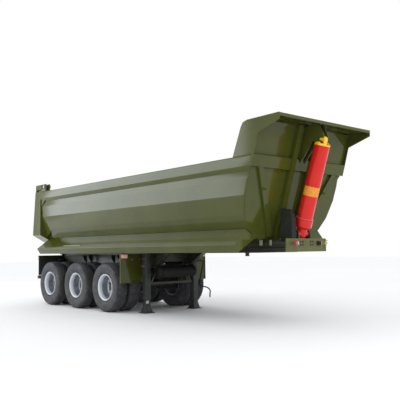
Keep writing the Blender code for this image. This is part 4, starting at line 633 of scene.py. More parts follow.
def skirt_rear(flat):
    """The skirt's lower fold reaches behind the rear frame's knee."""
    past = np.clip((np.abs(flat[:, 0]) - 1.03) / 0.135, 0, 1)
    return ahead(SKIRT_REAR_AHEAD) - 0.184 * past


def sheet_pair(name, shapes, node):
    """Enamelled sheets on the left and their mirror image, which stand for the nodes of both sides."""
    for side, sided in SIDED:
        piece(name + side, sided(shapes), olive_enamel, BODY_SHEET, (node + side,))


def build_tub():
    """Sides and floor of the load space: sheets folded with a bend radius of about 25 mm."""
    side_line = TUB_SECTION[:5] + ((0.9148, 1.6603),)
    floor_half = ((0.9146, 1.6600),) + TUB_SECTION[5:]
    floor_line = floor_half + tuple((-y, z) for y, z in reversed(floor_half))
    side, floor = (folded(line, ahead(TUB_REAR_AHEAD), tub_front, 0.025) for line in (side_line, floor_line))
    sheet_pair("tub_sheet_", [side], "tub_side_")
    piece("tub_floor_sheet", [floor], olive_enamel, BODY_SHEET, ("tub_floor",))


def build_rails():
    """Box rails with a sloped foot and rolled edges."""
    corners = [(HALF_WIDTH, RAIL_TOP), (HALF_WIDTH, 2.726), (1.203, 2.649), (1.150, 2.649),
               (1.150, RAIL_TOP)]
    rail = extruded(eased(corners, 0.014), "x", ahead(TUB_REAR_AHEAD), wall_face)
    sheet_pair("rail_", [rail], "top_rail_")


def build_skirts():
    """Folded side skirts that end square behind the front frame, with their inner gussets."""
    starts = ahead(GUSSET_AHEAD) + np.arange(6) * GUSSET_PITCH
    shapes = [folded(SKIRT_LINE, skirt_rear, ahead(SKIRT_FRONT_AHEAD), 0.012)]
    shapes += [extruded(SKIRT_GUSSET, "x", start, start + SHEET) for start in starts]
    sheet_pair("skirt_sheet_", shapes, "skirt_")


TRUNNION = Vector((ahead(7.190), 0, 1.600))
EYE = Vector((ahead(7.740), 0, 3.205))
LEAN = (EYE - TRUNNION).normalized()
ACROSS = Vector((LEAN.z, 0, -LEAN.x))


def on_cylinder(along, across=0.0, aside=0.0):
    """A point at a distance along the cylinder's axis, across it to the front, and aside to the left."""
    return TRUNNION + LEAN * along + ACROSS * across + Vector((0, aside, 0))


def build_cylinder():
    """Cover tube with a domed shoulder and a bead, base with collar and trunnion, and chromed stages."""
    cover = [(0, 1.590), (0.128, 1.590), (0.134, 1.587), (0.137, 1.581), (0.137, 0.292), (0.139, 0.286),
             (0.147, 0.284), (0.150, 0.281), (0.150, 0.274), (0.148, 0.272), (0.129, 0.272), (0.129, 1.575),
             (0.064, 1.575), (0.064, 0.211), (0, 0.211)]
    piece("cover_tube", [turned(cover, TRUNNION, LEAN, 64)], red_enamel, ("cylinder_cover", "cylinder_red"),
          ("cylinder_cover",))
    # The bead's pale pink finish is a painted highlight.
    wiper = [(0.138, 0.2862), (0.151, 0.2862), (0.1522, 0.2875), (0.1522, 0.2895), (0.151, 0.2908),
             (0.138, 0.2908)]
    piece("wiper_ring", [turned(wiper, TRUNNION, LEAN, 64, ring=True)], red_enamel_highlight,
          ("cylinder_cover", "polished_steel"))
    base = [(0, -0.100), (0.082, -0.100), (0.090, -0.092), (0.090, 0.070), (0.096, 0.098), (0.140, 0.128),
            (0.150, 0.138), (0.152, 0.146), (0.152, 0.266), (0.150, 0.2714), (0.122, 0.2717),
            (0.122, 1.5747), (0.112, 1.5747), (0.112, 0.200), (0, 0.200)]
    boss = button(0.058, 0.128, 0.054, 0.132, low=0.070)
    shapes = [turned(base, TRUNNION, LEAN, 64)] + both_sides([turned(boss, TRUNNION, LEFTWARD, 32)])
    piece("base_tube", shapes, red_enamel, ("cylinder_base", "cylinder_red"), ("cylinder_base",))
    pin = two_ended([(0, 0.182), (0.037, 0.182), (0.0397, 0.179)])
    piece("trunnion_pin", [turned(pin, TRUNNION, LEFTWARD, 32)], zinc_plate,
          ("cylinder_base", "polished_steel"))
    for stage in range(1, 5):
        name = "cylinder_stage_" + str(stage)
        outer = 0.122 - 0.012 * stage
        wall = [(outer, 0.210), (outer, 1.570), (outer - 0.003, 1.5747), (outer - 0.010, 1.5747),
                (outer - 0.010, 0.210)]
        piece("stage_tube_" + str(stage), [turned(wall, TRUNNION, LEAN, 64, ring=True)], hard_chrome,
              (name, "polished_steel"), (name,))


def build_cap():
    """The cast cap: a flange with two raised segments and two lugs, a neck and an eye with its pin."""
    start = 1.5903
    flange = [(0, 0), (0.134, 0), (0.139, 0.004), (0.139, 0.020), (0.135, 0.024), (0.070, 0.026),
              (0.062, 0.040), (0, 0.040)]
    eye = two_ended([(0, 0.047), (0.055, 0.047), (0.060, 0.041)])
    pin = two_ended([(0, 0.075), (0.023, 0.075), (0.025, 0.073)])
    shapes = [turned(flange, on_cylinder(start), LEAN, 64), turned(eye, EYE, LEFTWARD, 40),
              turned(pin, EYE, LEFTWARD, 24),
              bar(on_cylinder(start + 0.020), on_cylinder(1.690), 0.119, 0.092, ACROSS)]
    reach = np.radians(np.linspace(-50, 50, 13))
    for aside in (-1, 1):
        foot = on_cylinder(start + 0.005, 0, aside * 0.115)
        shapes.append(bar(foot, foot + LEAN * 0.052, 0.052, 0.036, ACROSS))
        segment = np.stack((0.137 * np.sin(reach), aside * 0.137 * np.cos(reach)), 1)
        rows = [on_cylinder(start + height, x, y) for height in (0.020, 0.040) for x, y in segment]
        shapes.append((np.array(rows), with_lids(2, len(segment))))
    piece("cast_cap", shapes, yellow_enamel, ("cylinder_cover", "cap_yellow"), ("cylinder_cap",), edge=0.003)


def build_label():
    """A blank sticker bent round the cover: a patch of a tube over an angle and a height, with a rim."""
    angle = np.radians(np.linspace(-118, 28, 25))
    along = np.linspace(0.700, 0.865, 3)
    spoke = np.cos(angle)[:, None] * np.array(ACROSS) + np.sin(angle)[:, None] * np.array(LEFTWARD)
    middle = np.array(TRUNNION) + along[:, None, None] * np.array(LEAN)
    points = np.concatenate([(middle + radius * spoke[None]).reshape(-1, 3) for radius in (0.1376, 0.1384)])
    count = len(angle)
    layer = 3 * count
    rim = list(range(count)) + [2 * count - 1] + list(range(layer - 1, 2 * count - 1, -1)) + [count]
    faces = grid_faces(3, count) + grid_faces(3, count, start=layer)
    faces += [[here, there, there + layer, here + layer] for here, there in zip(rim, rim[1:] + rim[:1])]
    piece("blank_label", [(points, faces)], orange_vinyl, ("cylinder_cover", "cap_yellow"))


def tyre_shape(centre, side, ribbed):
    """A tyre as a closed grid round its axle: across, a crowned tread with grooves runs over the shoulder
    into side wall and bead; around, each pitch has a lug at each shoulder and a zigzag in the grooves."""
    around = TREAD_LUGS * 4
    turn = np.arange(around)
    angle = turn * 2 * np.pi / around
    share = np.array(TREAD_COLUMNS)
    groove = TREAD_DEPTH * np.array(TREAD_GROOVES, float)
    waved = (share > 0.05) & (share < 0.6)
    zigzag = TREAD_ZIGZAG * np.where(turn % 4 < 2, 1.0, -1.0)[:, None] * waved[None]
    lug_gap = 0.020 if ribbed else 0.011
    cut = (turn % 4 < (2 if ribbed else 1))[:, None]
    notch = np.where(cut, lug_gap, 0.0) * (share > 0.60)[None]
    tread_y = TREAD_HALF * share[None] + zigzag
    tread_r = (AXLE_Z - TREAD_CROWN * share ** 2.5)[None] - groove[None] - notch
    shoulder = np.array(TYRE_SHOULDER)
    shoulder_dip = np.where(cut, lug_gap * 0.9, 0.0) * np.array((1.0, 0.6))[None]
    wall = np.array(TYRE_WALL)
    ring = (wall[:, 1] > 0.40) & (wall[:, 1] < 0.50)
    rib = np.where((turn % 4)[:, None] < 2, 0.0040 if ribbed else 0.0010, 0.0) * ring[None]
    half_r = np.concatenate((tread_r, shoulder[:, 1] - shoulder_dip,
                             np.broadcast_to(wall[:, 1], (around, len(wall)))), 1)
    half_y = np.concatenate((tread_y, np.broadcast_to(shoulder[:, 0], (around, 2)), wall[:, 0] - rib), 1)
    shift = np.roll(turn, 2)
    radius = np.concatenate((half_r[shift][:, :0:-1], half_r), 1)
    along = np.concatenate((-half_y[shift][:, :0:-1], half_y), 1)
    x, y, z = centre
    across, up = radius * np.sin(angle)[:, None], radius * np.cos(angle)[:, None]
    points = np.stack((x + across, y + side * along, z + up), -1)
    return points.reshape(-1, 3), grid_faces(around, radius.shape[1], ring_rows=True, ring_columns=True)


def disc_with_holes(centre, side, inner, hole_ring, hole, outer, count, depth):
    """A dished disc of a wheel: each of its sectors is a patch between a round hole and the sector's edge,
    point = (1 - s) * hole's rim + s * sector's rim, with rings of quads inside and outside."""
    half = math.pi / count
    steps = 32
    phi = np.arange(steps) * 2 * np.pi / steps
    hole_r = hole_ring + hole * np.cos(phi)
    hole_a = hole * np.sin(phi) / hole_ring
    reach_r = np.where(np.cos(phi) > 0, (outer - hole_ring) / np.maximum(np.cos(phi), 1e-9),
                       (hole_ring - inner) / np.maximum(-np.cos(phi), 1e-9))
    reach_a = half * hole_ring / np.maximum(np.abs(np.sin(phi)), 1e-9)
    reach = np.minimum(reach_r, reach_a)
    share = np.linspace(0, 1, 4)[:, None]
    patch_r = (1 - share) * hole_r + share * (hole_ring + reach * np.cos(phi))
    patch_a = (1 - share) * hole_a + share * reach * np.sin(phi) / hole_ring
    faces = grid_faces(8, steps, ring_rows=True, ring_columns=True)
    shapes = []
    x, y, z = centre
    for k in range(count):
        turn = patch_a + k * 2 * half
        across, up = patch_r * np.sin(turn), patch_r * np.cos(turn)
        front = np.stack((x + across, y + side * depth(patch_r), z + up), -1)
        rear = front - np.array((0, side * 0.012, 0))
        shapes.append((np.concatenate((front, rear[::-1])).reshape(-1, 3), faces))
    return shapes


def dish_depth(radius):
    """The disc's outer face, as a distance from the trailer's middle: flat at the hub, rising to the rim."""
    share = np.clip((np.asarray(radius) - 0.185) / 0.080, 0, 1)
    return 0.940 + 0.052 * share * share * (3 - 2 * share)


def round_places(x, y, radius, degrees):
    """Places on a circle round an axle."""
    return [(x + radius * math.sin(angle), y, AXLE_Z + radius * math.cos(angle))
            for angle in np.radians(degrees)]


def build_wheel(x, side, tag):
    """One twin wheel: rims, dished disc with hand holes, hub with its bolts, ten nuts and brake drum."""
    centre = (x, 0, AXLE_Z)
    axis = (0, side, 0)
    body = "wheel_set_" + tag
    barrel = [(0.2625, 0.965), (0.2625, 1.165), (0.2665, 1.200), (0.2740, 1.213), (0.2810, 1.2185),
              (0.2860, 1.2190), (0.2895, 1.2155), (0.2900, 1.2085), (0.2880, 1.1900), (0.2790, 1.1860),
              (0.2722, 1.1780), (0.2720, 0.6570), (0.2790, 0.6510), (0.2880, 0.6470), (0.2900, 0.6400),
              (0.2885, 0.6330), (0.2830, 0.6310), (0.2700, 0.6360), (0.2625, 0.6520), (0.2625, 0.9640)]
    plate = [(0.070, 0.940), (0.1505, 0.940), (0.1505, 0.928), (0.070, 0.928)]
    shapes = [turned(barrel, centre, axis, 96, ring=True), turned(plate, centre, axis, 80, ring=True)]
    shapes += disc_with_holes(centre, side, 0.150, 0.2080, 0.026, 0.2620, WHEEL_NUTS, dish_depth)
    piece("rim_" + tag, shapes, wheel_paint, (body, "wheel_silver"), ("wheel_" + tag,))
    # The ring over the flange is painted paler than the rest of the rim: a painted highlight.
    ring = [(0.2600, 1.128), (0.2600, 1.178), (0.2635, 1.1995), (0.2730, 1.2145), (0.2805, 1.2200),
            (0.2865, 1.2202), (0.2904, 1.2162), (0.2909, 1.2088), (0.2885, 1.1905)]
    back = [(radius - 0.0008, along - 0.0010) for radius, along in reversed(ring[1:-1])]
    piece("rim_ring_" + tag, [turned(ring + back, centre, axis, 96, ring=True)], wheel_paint_highlight,
          (body, "wheel_silver"))
    hub = [(0, 1.076), (0.052, 1.076), (0.060, 1.072), (0.064, 1.062), (0.066, 1.030), (0.088, 1.026),
           (0.096, 1.018), (0.100, 0.985), (0.118, 0.962), (0.124, 0.952), (0.124, 0.9415), (0, 0.9415)]
    shapes = [turned(hub, centre, axis, 48)]
    shapes += [nut(place, axis, 0.016, 0.009)
               for place in round_places(x, side * 1.024, 0.080, 45 * np.arange(8))]
    piece("hub_" + tag, shapes, primed_steel, (body, "cast_steel"))
    stud = button(0.011, 0.046, 0.009, 0.048, low=0.028)
    studs = []
    for place in round_places(x, side * 0.939, 0.1425, 18 + 360 / WHEEL_NUTS * np.arange(WHEEL_NUTS)):
        studs += [nut(place, axis, 0.034, 0.030), turned(stud, place, axis, 12)]
    piece("nuts_" + tag, studs, zinc_plate, (body, "polished_steel"))
    drum = [(0.080, 0.652), (0.205, 0.652), (0.212, 0.660), (0.212, 0.690), (0.206, 0.694), (0.206, 0.860),
            (0.190, 0.890), (0.120, 0.905), (0.080, 0.905)]
    piece("brake_drum_" + tag, [turned(drum, centre, axis, 64, ring=True)], primed_steel,
          (body, "cast_steel"))


def build_wheels():
    """Three wheel sets a side, each with two tyres; the front ones have open lugs."""
    for index in range(3):
        x = ahead(index * AXLE_SPACING)
        for name, side in SIDES:
            tag = name + "_" + str(index + 1)
            build_wheel(x, side, tag)
            for place, y in (("outer", 1.095), ("inner", 0.745)):
                shape = tyre_shape((x, side * y, AXLE_Z), side, index == 2)
                piece("tyre_" + place + "_tread_" + tag, [shape], tyre_rubber,
                      ("wheel_set_" + tag, "tyre_rubber"), ("tyre_" + place + "_" + tag,), angle=38)


def build_wall_details():
    """Weld beads round the front wall, its foot strip, rope hooks on the braces and seams at the canopy."""
    beads = [weld([(wall_x(z) + 0.002, 0.014 - y, z + 0.006) for y, z in fold], 0.0045)
             for fold in zip(TUB_SECTION[1:], TUB_SECTION[2:])]
    foot_x = wall_x(1.520) + 0.003
    strip = bar((foot_x, -0.64, 1.522), (foot_x, 0.64, 1.522), 0.018, 0.010, UPWARD)
    beam_x = wall_x(CROSSBEAM_TOP) + 0.062
    beads.append(tube([(beam_x, -1.246, CROSSBEAM_TOP), (beam_x, -0.292, CROSSBEAM_TOP)], 0.0075))
    piece("wall_welds", both_sides(beads) + [strip], olive_enamel, BODY_SHEET)
    hooks = []
    for y, z in ((-0.640, 2.090), (-0.812, 2.360)):
        x = wall_x(z) + 0.045
        path = [(x, y - 0.035, z), (x + 0.045, y - 0.035, z + 0.002), (x + 0.045, y + 0.035, z + 0.002),
                (x, y + 0.035, z)]
        hooks += [tube(smooth_path(path), 0.007),
                  bar((x, y - 0.050, z), (x, y + 0.050, z), 0.030, 0.012, UPWARD)]
    piece("rope_hooks", both_sides(hooks), olive_enamel, BODY_SHEET)
    wing_z, visor_z = RAIL_TOP + 0.0035, 2.7125
    visor_x = wall_x(visor_z) + 0.004
    seams = [weld([(ahead(6.80), y, wing_z), (wall_x(RAIL_TOP) + 0.05, y, wing_z)], 0.005)
             for y in (-1.2385, 1.2385)]
    seams.append(weld([(visor_x, -1.14, visor_z), (visor_x, 1.14, visor_z)], 0.005))
    piece("canopy_seams", seams, olive_enamel, BODY_SHEET)


def build_rear_details():
    """Corner gussets where the tub meets the rear frame, hinge pin heads and the skirt's bare sticker."""
    rear = ahead(TUB_REAR_AHEAD)
    low = [(rear, 1.120, 1.920), (rear + 0.470, 1.120, 1.920), (rear, 1.064, 1.718), (rear, 0.996, 1.742)]
    wedge = (np.array(low), [[0, 1, 2], [0, 3, 1], [1, 3, 2], [0, 2, 3]])
    high = [(rear + 0.002, 2.714), (rear + 0.26, 2.714), (rear + 0.002, 2.500)]
    piece("corner_gussets", both_sides([wedge, extruded(high, "y", 1.209, 1.230)]), olive_enamel, BODY_SHEET)
    head = button(0.034, 0.006, 0.030, 0.008)
    heads = [turned(head, (ahead(GATE_PIN_AHEAD), y, GATE_PIN_Z), (0, way, 0), 24)
             for y, way in ((1.2455, 1), (1.0675, -1))]
    piece("hinge_pin_heads", both_sides(heads), zinc_plate, ("dump_body", "polished_steel"))
    (top_y, top_z), (fold_y, fold_z) = SKIRT_LINE[:2]
    fall = (top_z - fold_z) / (fold_y - top_y)
    out = np.array((0, fall, 1.0)) / math.hypot(fall, 1.0)
    outline = ((0.66, 1.178), (1.46, 1.178), (1.46, 1.198), (0.66, 1.198))
    corners = np.array([(ahead(start), y, top_z - fall * (y - top_y)) for start, y in outline])
    points = np.concatenate((corners + 0.0004 * out, corners + 0.0012 * out))
    piece("skirt_sticker", [mirrored((points, with_lids(2, 4)))], worn_vinyl, BODY_SHEET)


def coupling(name, y, paint, slot, share):
    """A quarter-turn air coupling: a nipple, a round head seen from its side, a claw, a tail and a rubber
    seal; share narrows the head."""
    foot = np.array((ahead(PLATE_AHEAD) + CLEAR, y, 1.432))
    nipple = [(0, 0), (0.018, 0), (0.018, 0.026), (0.024, 0.028), (0.024, 0.046), (0, 0.046)]
    centre = foot + (0.062, 0, 0)
    axis = (0.50, 0.86, 0.08)
    head = [(0, -0.024), (0.026, -0.024), (0.034, -0.018), (0.034, 0.012), (0.030, 0.020), (0, 0.020)]
    shapes = [turned(nipple, foot, FORWARD, 24), turned(np.array(head) * (share, 1), centre, axis, 32),
              bar(centre + (0, -0.010, 0.030), centre + (0.030, 0.022, 0.052), 0.024, 0.008, LEFTWARD),
              bar(centre + (0, -0.012, -0.028), centre + (0.034, -0.010, -0.054), 0.020, 0.008, LEFTWARD)]
    piece(name + "_head", shapes, paint, ("chassis", slot), (name,), edge=0.0015)
    seal = [(0, 0.0202), (0.028, 0.0202), (0.032, 0.028), (0.030, 0.040), (0.022, 0.046), (0, 0.046)]
    piece(name + "_seal", [turned(np.array(seal) * share, centre, axis, 24)], white_vinyl, FRAME_PLASTIC)


def build_front_plate():
    """The plate across the frame's front: edge strips, plugged holes, air couplings, the socket with its lid
    and the two pads a side that guide the body on to the frame."""
    face = ahead(PLATE_AHEAD)
    strips = [block((face - 0.001, -0.5425, 1.286), (face + 0.006, -0.500, 1.512)),
              block((face - 0.001, 0.510, 1.286), (face + 0.006, 0.5425, 1.512)),
              block((face - 0.001, -0.499, 1.289), (face + 0.005, 0.509, 1.302))]
    # The plate and its strips take the brighter olive copy: painted light.
    softened("front_plate", olive_painted_light, FRAME_SHEET, 0.003)
    piece("front_plate_strips", strips, olive_painted_light, FRAME_SHEET, edge=0.002)
    plug = [(0, 0), (0.018, 0), (0.018, 0.004), (0.015, 0.005), (0.013, 0.002), (0, 0.002)]
    plugs = [turned(plug, (face, y, z), FORWARD, 20) for y in (-0.157, -0.095, 0.112, 0.176)
             for z in (1.404, 1.456)]
    piece("plate_plugs", plugs, rubber_sheet, FRAME_PLASTIC)
    coupling("air_coupling_red", -0.352, coupling_enamel, "coupling_red", 1.0)
    coupling("air_coupling_yellow", 0.452, faded_yellow, "cap_yellow", 0.7)
    barrel = button(0.032, 0.040, 0.029, 0.044, low=0.009)
    socket = [block((face + CLEAR, 0.286, 1.388), (face + 0.010, 0.366, 1.468)),
              turned(barrel, (face, 0.326, 1.428), FORWARD, 32)]
    piece("socket_body", socket, black_plastic, FRAME_PLASTIC, ("electric_socket",), edge=0.002)
    cover = button(0.034, 0.007, 0.030, 0.010)
    lid = [turned(cover, (face + 0.052, 0.348, 1.430), (0.8, 0.6, 0.1), 32),
           bar((face + 0.010, 0.350, 1.466), (face + 0.060, 0.352, 1.462), 0.020, 0.008, LEFTWARD)]
    piece("socket_lid", lid, wheel_paint, FRAME_PLASTIC)
    guides = [block((3.262, WEB_FACE, 1.400), (3.322, 0.566, 1.500)),
              block((3.500, WEB_FACE, 1.400), (3.542, 0.560, 1.492))]
    piece("body_guides", both_sides(guides), nylon_pad, FRAME_BEAM, edge=0.003)


def build_guard_panels():
    """Folded guard panels with bolts on their arms and two-cell lamps."""
    face = ahead(GUARD_AHEAD)
    for name, side in SIDES:
        softened("guard_panel_" + name, olive_enamel, FRAME_SHEET, 0.003)
        case = slab(side, (face + 0.030, 1.030, 1.172), (face + 0.037, 1.196, 1.266))
        piece("corner_lamp_case_" + name, [case], red_lens, FRAME_PLASTIC, edge=0.003)
        cells = [slab(side, (face + 0.036, start, 1.180), (face + 0.050, start + 0.073, 1.258))
                 for start in (1.037, 1.116)]
        piece("corner_lamp_" + name, cells, pale_lens, FRAME_LENS, edge=0.006)
        bolts = [nut((face + 0.0075, side * y, z), FORWARD, 0.022, 0.011) for y in (0.70, 0.90)
                 for z in (1.135, 1.162)]
        piece("guard_bolts_" + name, bolts, zinc_plate, FRAME_BOLT)


def build_stiffeners():
    """Outrigger plates on the beams' outer webs by the middle hangers, and the wiring boxes at the tail."""
    plate = [(WEB_FACE, 1.040), (0.600, 1.090), (0.655, 1.190), (0.655, 1.240), (WEB_FACE, 1.240)]
    shapes = []
    for index in (0.5, 1.5):
        x = ahead(index * AXLE_SPACING)
        shapes += [extruded(plate, "x", x + step, x + step + 0.010) for step in (0.020, 0.290)]
        shapes.append(block((x + 0.020, WEB_FACE, 1.240), (x + 0.300, 0.660, 1.250)))
    piece("outriggers", both_sides(shapes), chassis_enamel, FRAME_BEAM, edge=0.002)
    tail = ahead(TAIL_AHEAD)
    boxes = [block((tail, 0.5430, 1.018), (tail + 0.178, 0.664, 1.158)),
             block((tail + 0.020, 0.664, 1.038), (tail + 0.158, 0.672, 1.138))]
    piece("wiring_boxes", both_sides(boxes), black_plastic, FRAME_BEAM, edge=0.006)


def build_light_bar():
    """Light bar, bumper and hangers with rounded edges, rubber mudflaps, and the lamps in their cells."""
    front = ahead(TAIL_AHEAD) - CLEAR
    rear = front - 0.060
    for name, side in reversed(SIDES):
        case = slab(side, (rear - 0.020, 0.9605, 1.1378), (rear - 0.0004, 1.1965, 1.2222))
        piece("tail_lamp_case_" + name, [case], black_plastic, FRAME_LENS, ("tail_lamp_" + name,),
              edge=0.004)
    steel = [block((rear, -1.200, 1.120), (front, 1.200, 1.240)),
             block((front - 0.080, -1.200, 0.640), (front, 1.200, 0.720))]
    steel += both_sides([block((rear + 0.003, 0.4175, 0.714), (front - 0.003, 0.5425, 1.126))])
    piece("light_bar_steel", steel, chassis_enamel, FRAME_BEAM, ("rear_bumper",), edge=0.005)
    flap = block((rear + 0.030, 0.620, 0.730), (rear + 0.042, 1.197, 1.1197))
    piece("mudflaps", both_sides([flap]), rubber_sheet, FRAME_BEAM, edge=0.003)
    bolts = [nut((rear - 0.0005, y, 1.140), (-1, 0, 0), 0.020, 0.010) for y in (0.66, 0.84, 1.02)]
    piece("flap_bolts", both_sides(bolts), zinc_plate, FRAME_BOLT)
    side_lamp = block((rear + 0.002, 1.2003, 1.140), (front - 0.002, 1.212, 1.215))
    for name, lens, start, more in (("red", red_lens, 1.120, []), ("amber", amber_lens, 1.043, []),
                                    ("clear", clear_lens, 0.966, [side_lamp])):
        cell = block((rear - 0.0345, start, 1.143), (rear - 0.012, start + 0.072, 1.217))
        piece("tail_" + name + "_lens", both_sides([cell] + more), lens, FRAME_LENS, edge=0.006)


def build_rear_fittings():
    """The blank number plate, its lamp, two round reflectors and the air lines along the right beam."""
    rear = ahead(TAIL_AHEAD) - 0.0603
    plate = extruded(eased(rectangle(0.500, 0.106) + (0, 1.181), 0.010, 4), "x", rear - 0.004, rear)
    piece("number_plate", [plate], white_vinyl, FRAME_BEAM, edge=0.001)
    hood = block((rear - 0.030, -0.050, 1.2365), (rear + 0.010, 0.050, 1.250))
    piece("plate_lamp", [hood], black_plastic, FRAME_BEAM, edge=0.003)
    disc = button(0.030, 0.005, 0.027, 0.008)
    discs = [turned(disc, (rear - 0.0203, side * 0.320, 0.680), (-1, 0, 0), 32) for side in (-1, 1)]
    piece("reflectors", discs, red_lens, FRAME_LENS)
    lines = []
    for drop in (0, 0.018):
        path = [(x, -0.4935, z - drop)
                for x, z in ((3.790, 1.372), (0.700, 1.372), (0.200, 1.230), (-3.900, 1.230))]
        lines.append(tube(smooth_path(path), 0.006, 10))
        for x in np.arange(-3.6, 3.7, 0.73):
            z = np.interp(x, (0.200, 0.700), (1.230, 1.372)) - drop
            lines.append(block((x - 0.010, -0.501, z - 0.009), (x + 0.010, -0.4864, z + 0.009)))
    piece("air_lines", lines, black_plastic, FRAME_BEAM)


def post(place, width, rounding, low, high):
    """An upright square bar with eased edges."""
    return extruded(eased(rectangle(width, width) + place, rounding, 4), "z", low, high)


def flared_foot(place):
    """A leg's foot: square rings that widen towards the ground, closed by two lids."""
    flare = ((0.236, 0.0135), (0.200, 0.022), (0.172, 0.055), (0.150, 0.105), (0.122, 0.168))
    rings = [eased(rectangle(wide, wide) + place, wide / 12, 4) for wide, _ in flare]
    count = len(rings[0])
    rows = [np.column_stack((ring, np.full(count, z))) for ring, (_, z) in zip(rings, flare)]
    return np.concatenate(rows), with_lids(len(flare), count)


def build_legs():
    """Landing legs: square tubes with collars, gear case and flared foot, the crank and a sticker."""
    x = ahead(LEG_AHEAD)
    bends = ((0.731, 1.080), (0.945, 1.080), (0.972, 1.060), (0.846, 0.636), (0.838, 0.548), (0.890, 0.498),
             (1.090, 0.456), (1.172, 0.385), (1.160, 0.300))
    path = smooth_path([(x, y, z) for y, z in bends], 4)
    piece("crank", [tube(path, 0.0145, 12, FORWARD)], black_enamel, FRAME_BEAM)
    for name, side in SIDES:
        y = side * LEG_Y
        posts = ((0.136, 0.014, 0.300, 1.330), (0.112, 0.010, 0.150, 0.330), (0.144, 0.014, 0.298, 0.330),
                 (0.260, 0.020, 0.0, 0.014), (0.144, 0.014, 0.520, 0.538), (0.144, 0.014, 0.780, 0.798))
        shapes = [post((x, y), *sizes) for sizes in posts]
        shapes += [flared_foot((x, y)), slab(side, (x - 0.050, 0.731, 0.985), (x + 0.050, 0.757, 1.175))]
        piece("leg_" + name, shapes, leg_enamel, FRAME_BEAM, ("landing_leg_" + name,), angle=40)
        bolts = [nut((x + step, side * 0.7565, z), (0, side, 0), 0.020, 0.010) for step in (-0.036, 0.036)
                 for z in (1.000, 1.160)]
        piece("gear_case_bolts_" + name, bolts, zinc_plate, FRAME_BOLT)
    grip = button(0.016, 0.090, 0.013, 0.096)
    piece("crank_grip", [turned(grip, (x, 1.160, 0.318), (0, -0.05, -1), 16)], black_plastic, FRAME_BEAM)
    sticker = block((x + 0.0562, -0.725, 0.205), (x + 0.0572, -0.655, 0.262))
    piece("leg_sticker", [sticker], white_vinyl, FRAME_BEAM)


def leaf(x, y, reach, top):
    """One spring leaf: a strip whose height rises with the square of its distance from the axle."""
    share = np.linspace(-1, 1, 17)
    rise = CAMBER * (share * reach / HALF_SPRING) ** 2
    upper = np.stack((x + share * reach, top + rise), 1)
    lower = upper[::-1] - (0, 0.0112)
    return extruded(np.concatenate((upper, lower)), "y", y - 0.0445, y + 0.0445)


def spring_irons(axle_x, y, seat):
    """U-bolts with nuts and bridges, the seat's plate and the leaves' clips at one axle."""
    irons = [block((axle_x - 0.075, y - 0.062, AXLE_Z - 0.100), (axle_x + 0.075, y + 0.062, AXLE_Z - 0.080))]
    for x in (axle_x - 0.052, axle_x + 0.052):
        for edge in (y - 0.052, y + 0.052):
            irons += [tube([(x, edge, AXLE_Z - 0.095), (x, edge, seat + 0.088)], 0.008, 10),
                      nut((x, edge, seat + 0.090), UPWARD, 0.024, 0.016)]
        irons.append(bar((x, y - 0.058, seat + 0.082), (x, y + 0.058, seat + 0.082), 0.026, 0.014, FORWARD))
    low, high = (seat + CAMBER * (0.300 / HALF_SPRING) ** 2 + above for above in (0.030, 0.078))
    for x in (axle_x - 0.300, axle_x + 0.300):
        irons.append(bar((x, y - 0.050, high - 0.003), (x, y + 0.050, high - 0.003), 0.030, 0.006, FORWARD))
        irons += [bar((x, edge, low), (x, edge, high), 0.030, 0.005, FORWARD)
                  for edge in (y - 0.048, y + 0.048)]
    return irons


def hanger(x, y, reach):
    """A box hanger of two cheeks and three plates, with the rocker that the springs' ends bear on."""
    cheek = [(x - 0.120, 1.0197), (x + 0.120, 1.0197), (x + 0.105, 0.930), (x + 0.060, 0.790),
             (x - 0.060, 0.790), (x - 0.105, 0.930)]
    rocker = [(x - reach, 0.750), (x + reach, 0.750), (x + reach, 0.790), (x + 0.060, 0.878),
              (x - 0.060, 0.878), (x - reach, 0.790)]
    return [extruded(cheek, "y", y - 0.055, y - 0.047), extruded(cheek, "y", y + 0.047, y + 0.055),
            block((x - 0.115, y - 0.050, 1.000), (x + 0.115, y + 0.050, 1.0196)),
            block((x - 0.070, y - 0.050, 0.900), (x - 0.058, y + 0.050, 1.010)),
            block((x + 0.058, y - 0.050, 0.900), (x + 0.070, y + 0.050, 1.010)),
            extruded(eased(rocker, 0.012, 3), "y", y - 0.0455, y + 0.0455)]


def build_suspension():
    """Springs of separate leaves, their irons, hangers and pins: the left side and its mirror image."""
    seat = AXLE_Z + 0.1003
    y = SPRING_Y
    leaves, irons, pins = [], [], []
    for index in range(3):
        x = ahead(index * AXLE_SPACING)
        leaves += [leaf(x, y, (1 - 0.15 * step) * HALF_SPRING, seat + 0.072 - 0.012 * step)
                   for step in range(6)]
        irons += spring_irons(x, y, seat)
    head = button(0.030, 0.018, 0.026, 0.022)
    middle = 0.5 * AXLE_SPACING
    for place, reach in ((-0.520, 0.062), (middle, 0.190), (3 * middle, 0.190), (3.140, 0.062)):
        x = ahead(place)
        irons += hanger(x, y, reach)
        pins += [turned(head, (x, y + 0.054, 0.845), LEFTWARD, 24),
                 nut((x, y + 0.076, 0.845), LEFTWARD, 0.034, 0.016)]
    for name, sided in SIDED:
        piece("leaf_springs_" + name, sided(leaves), primed_steel, FRAME_CASTING, ("suspension_" + name,),
              edge=0.0015)
        piece("spring_irons_" + name, sided(irons), chassis_enamel, FRAME_CASTING, edge=0.0015)
        piece("hanger_pins_" + name, sided(pins), zinc_plate, FRAME_BOLT)


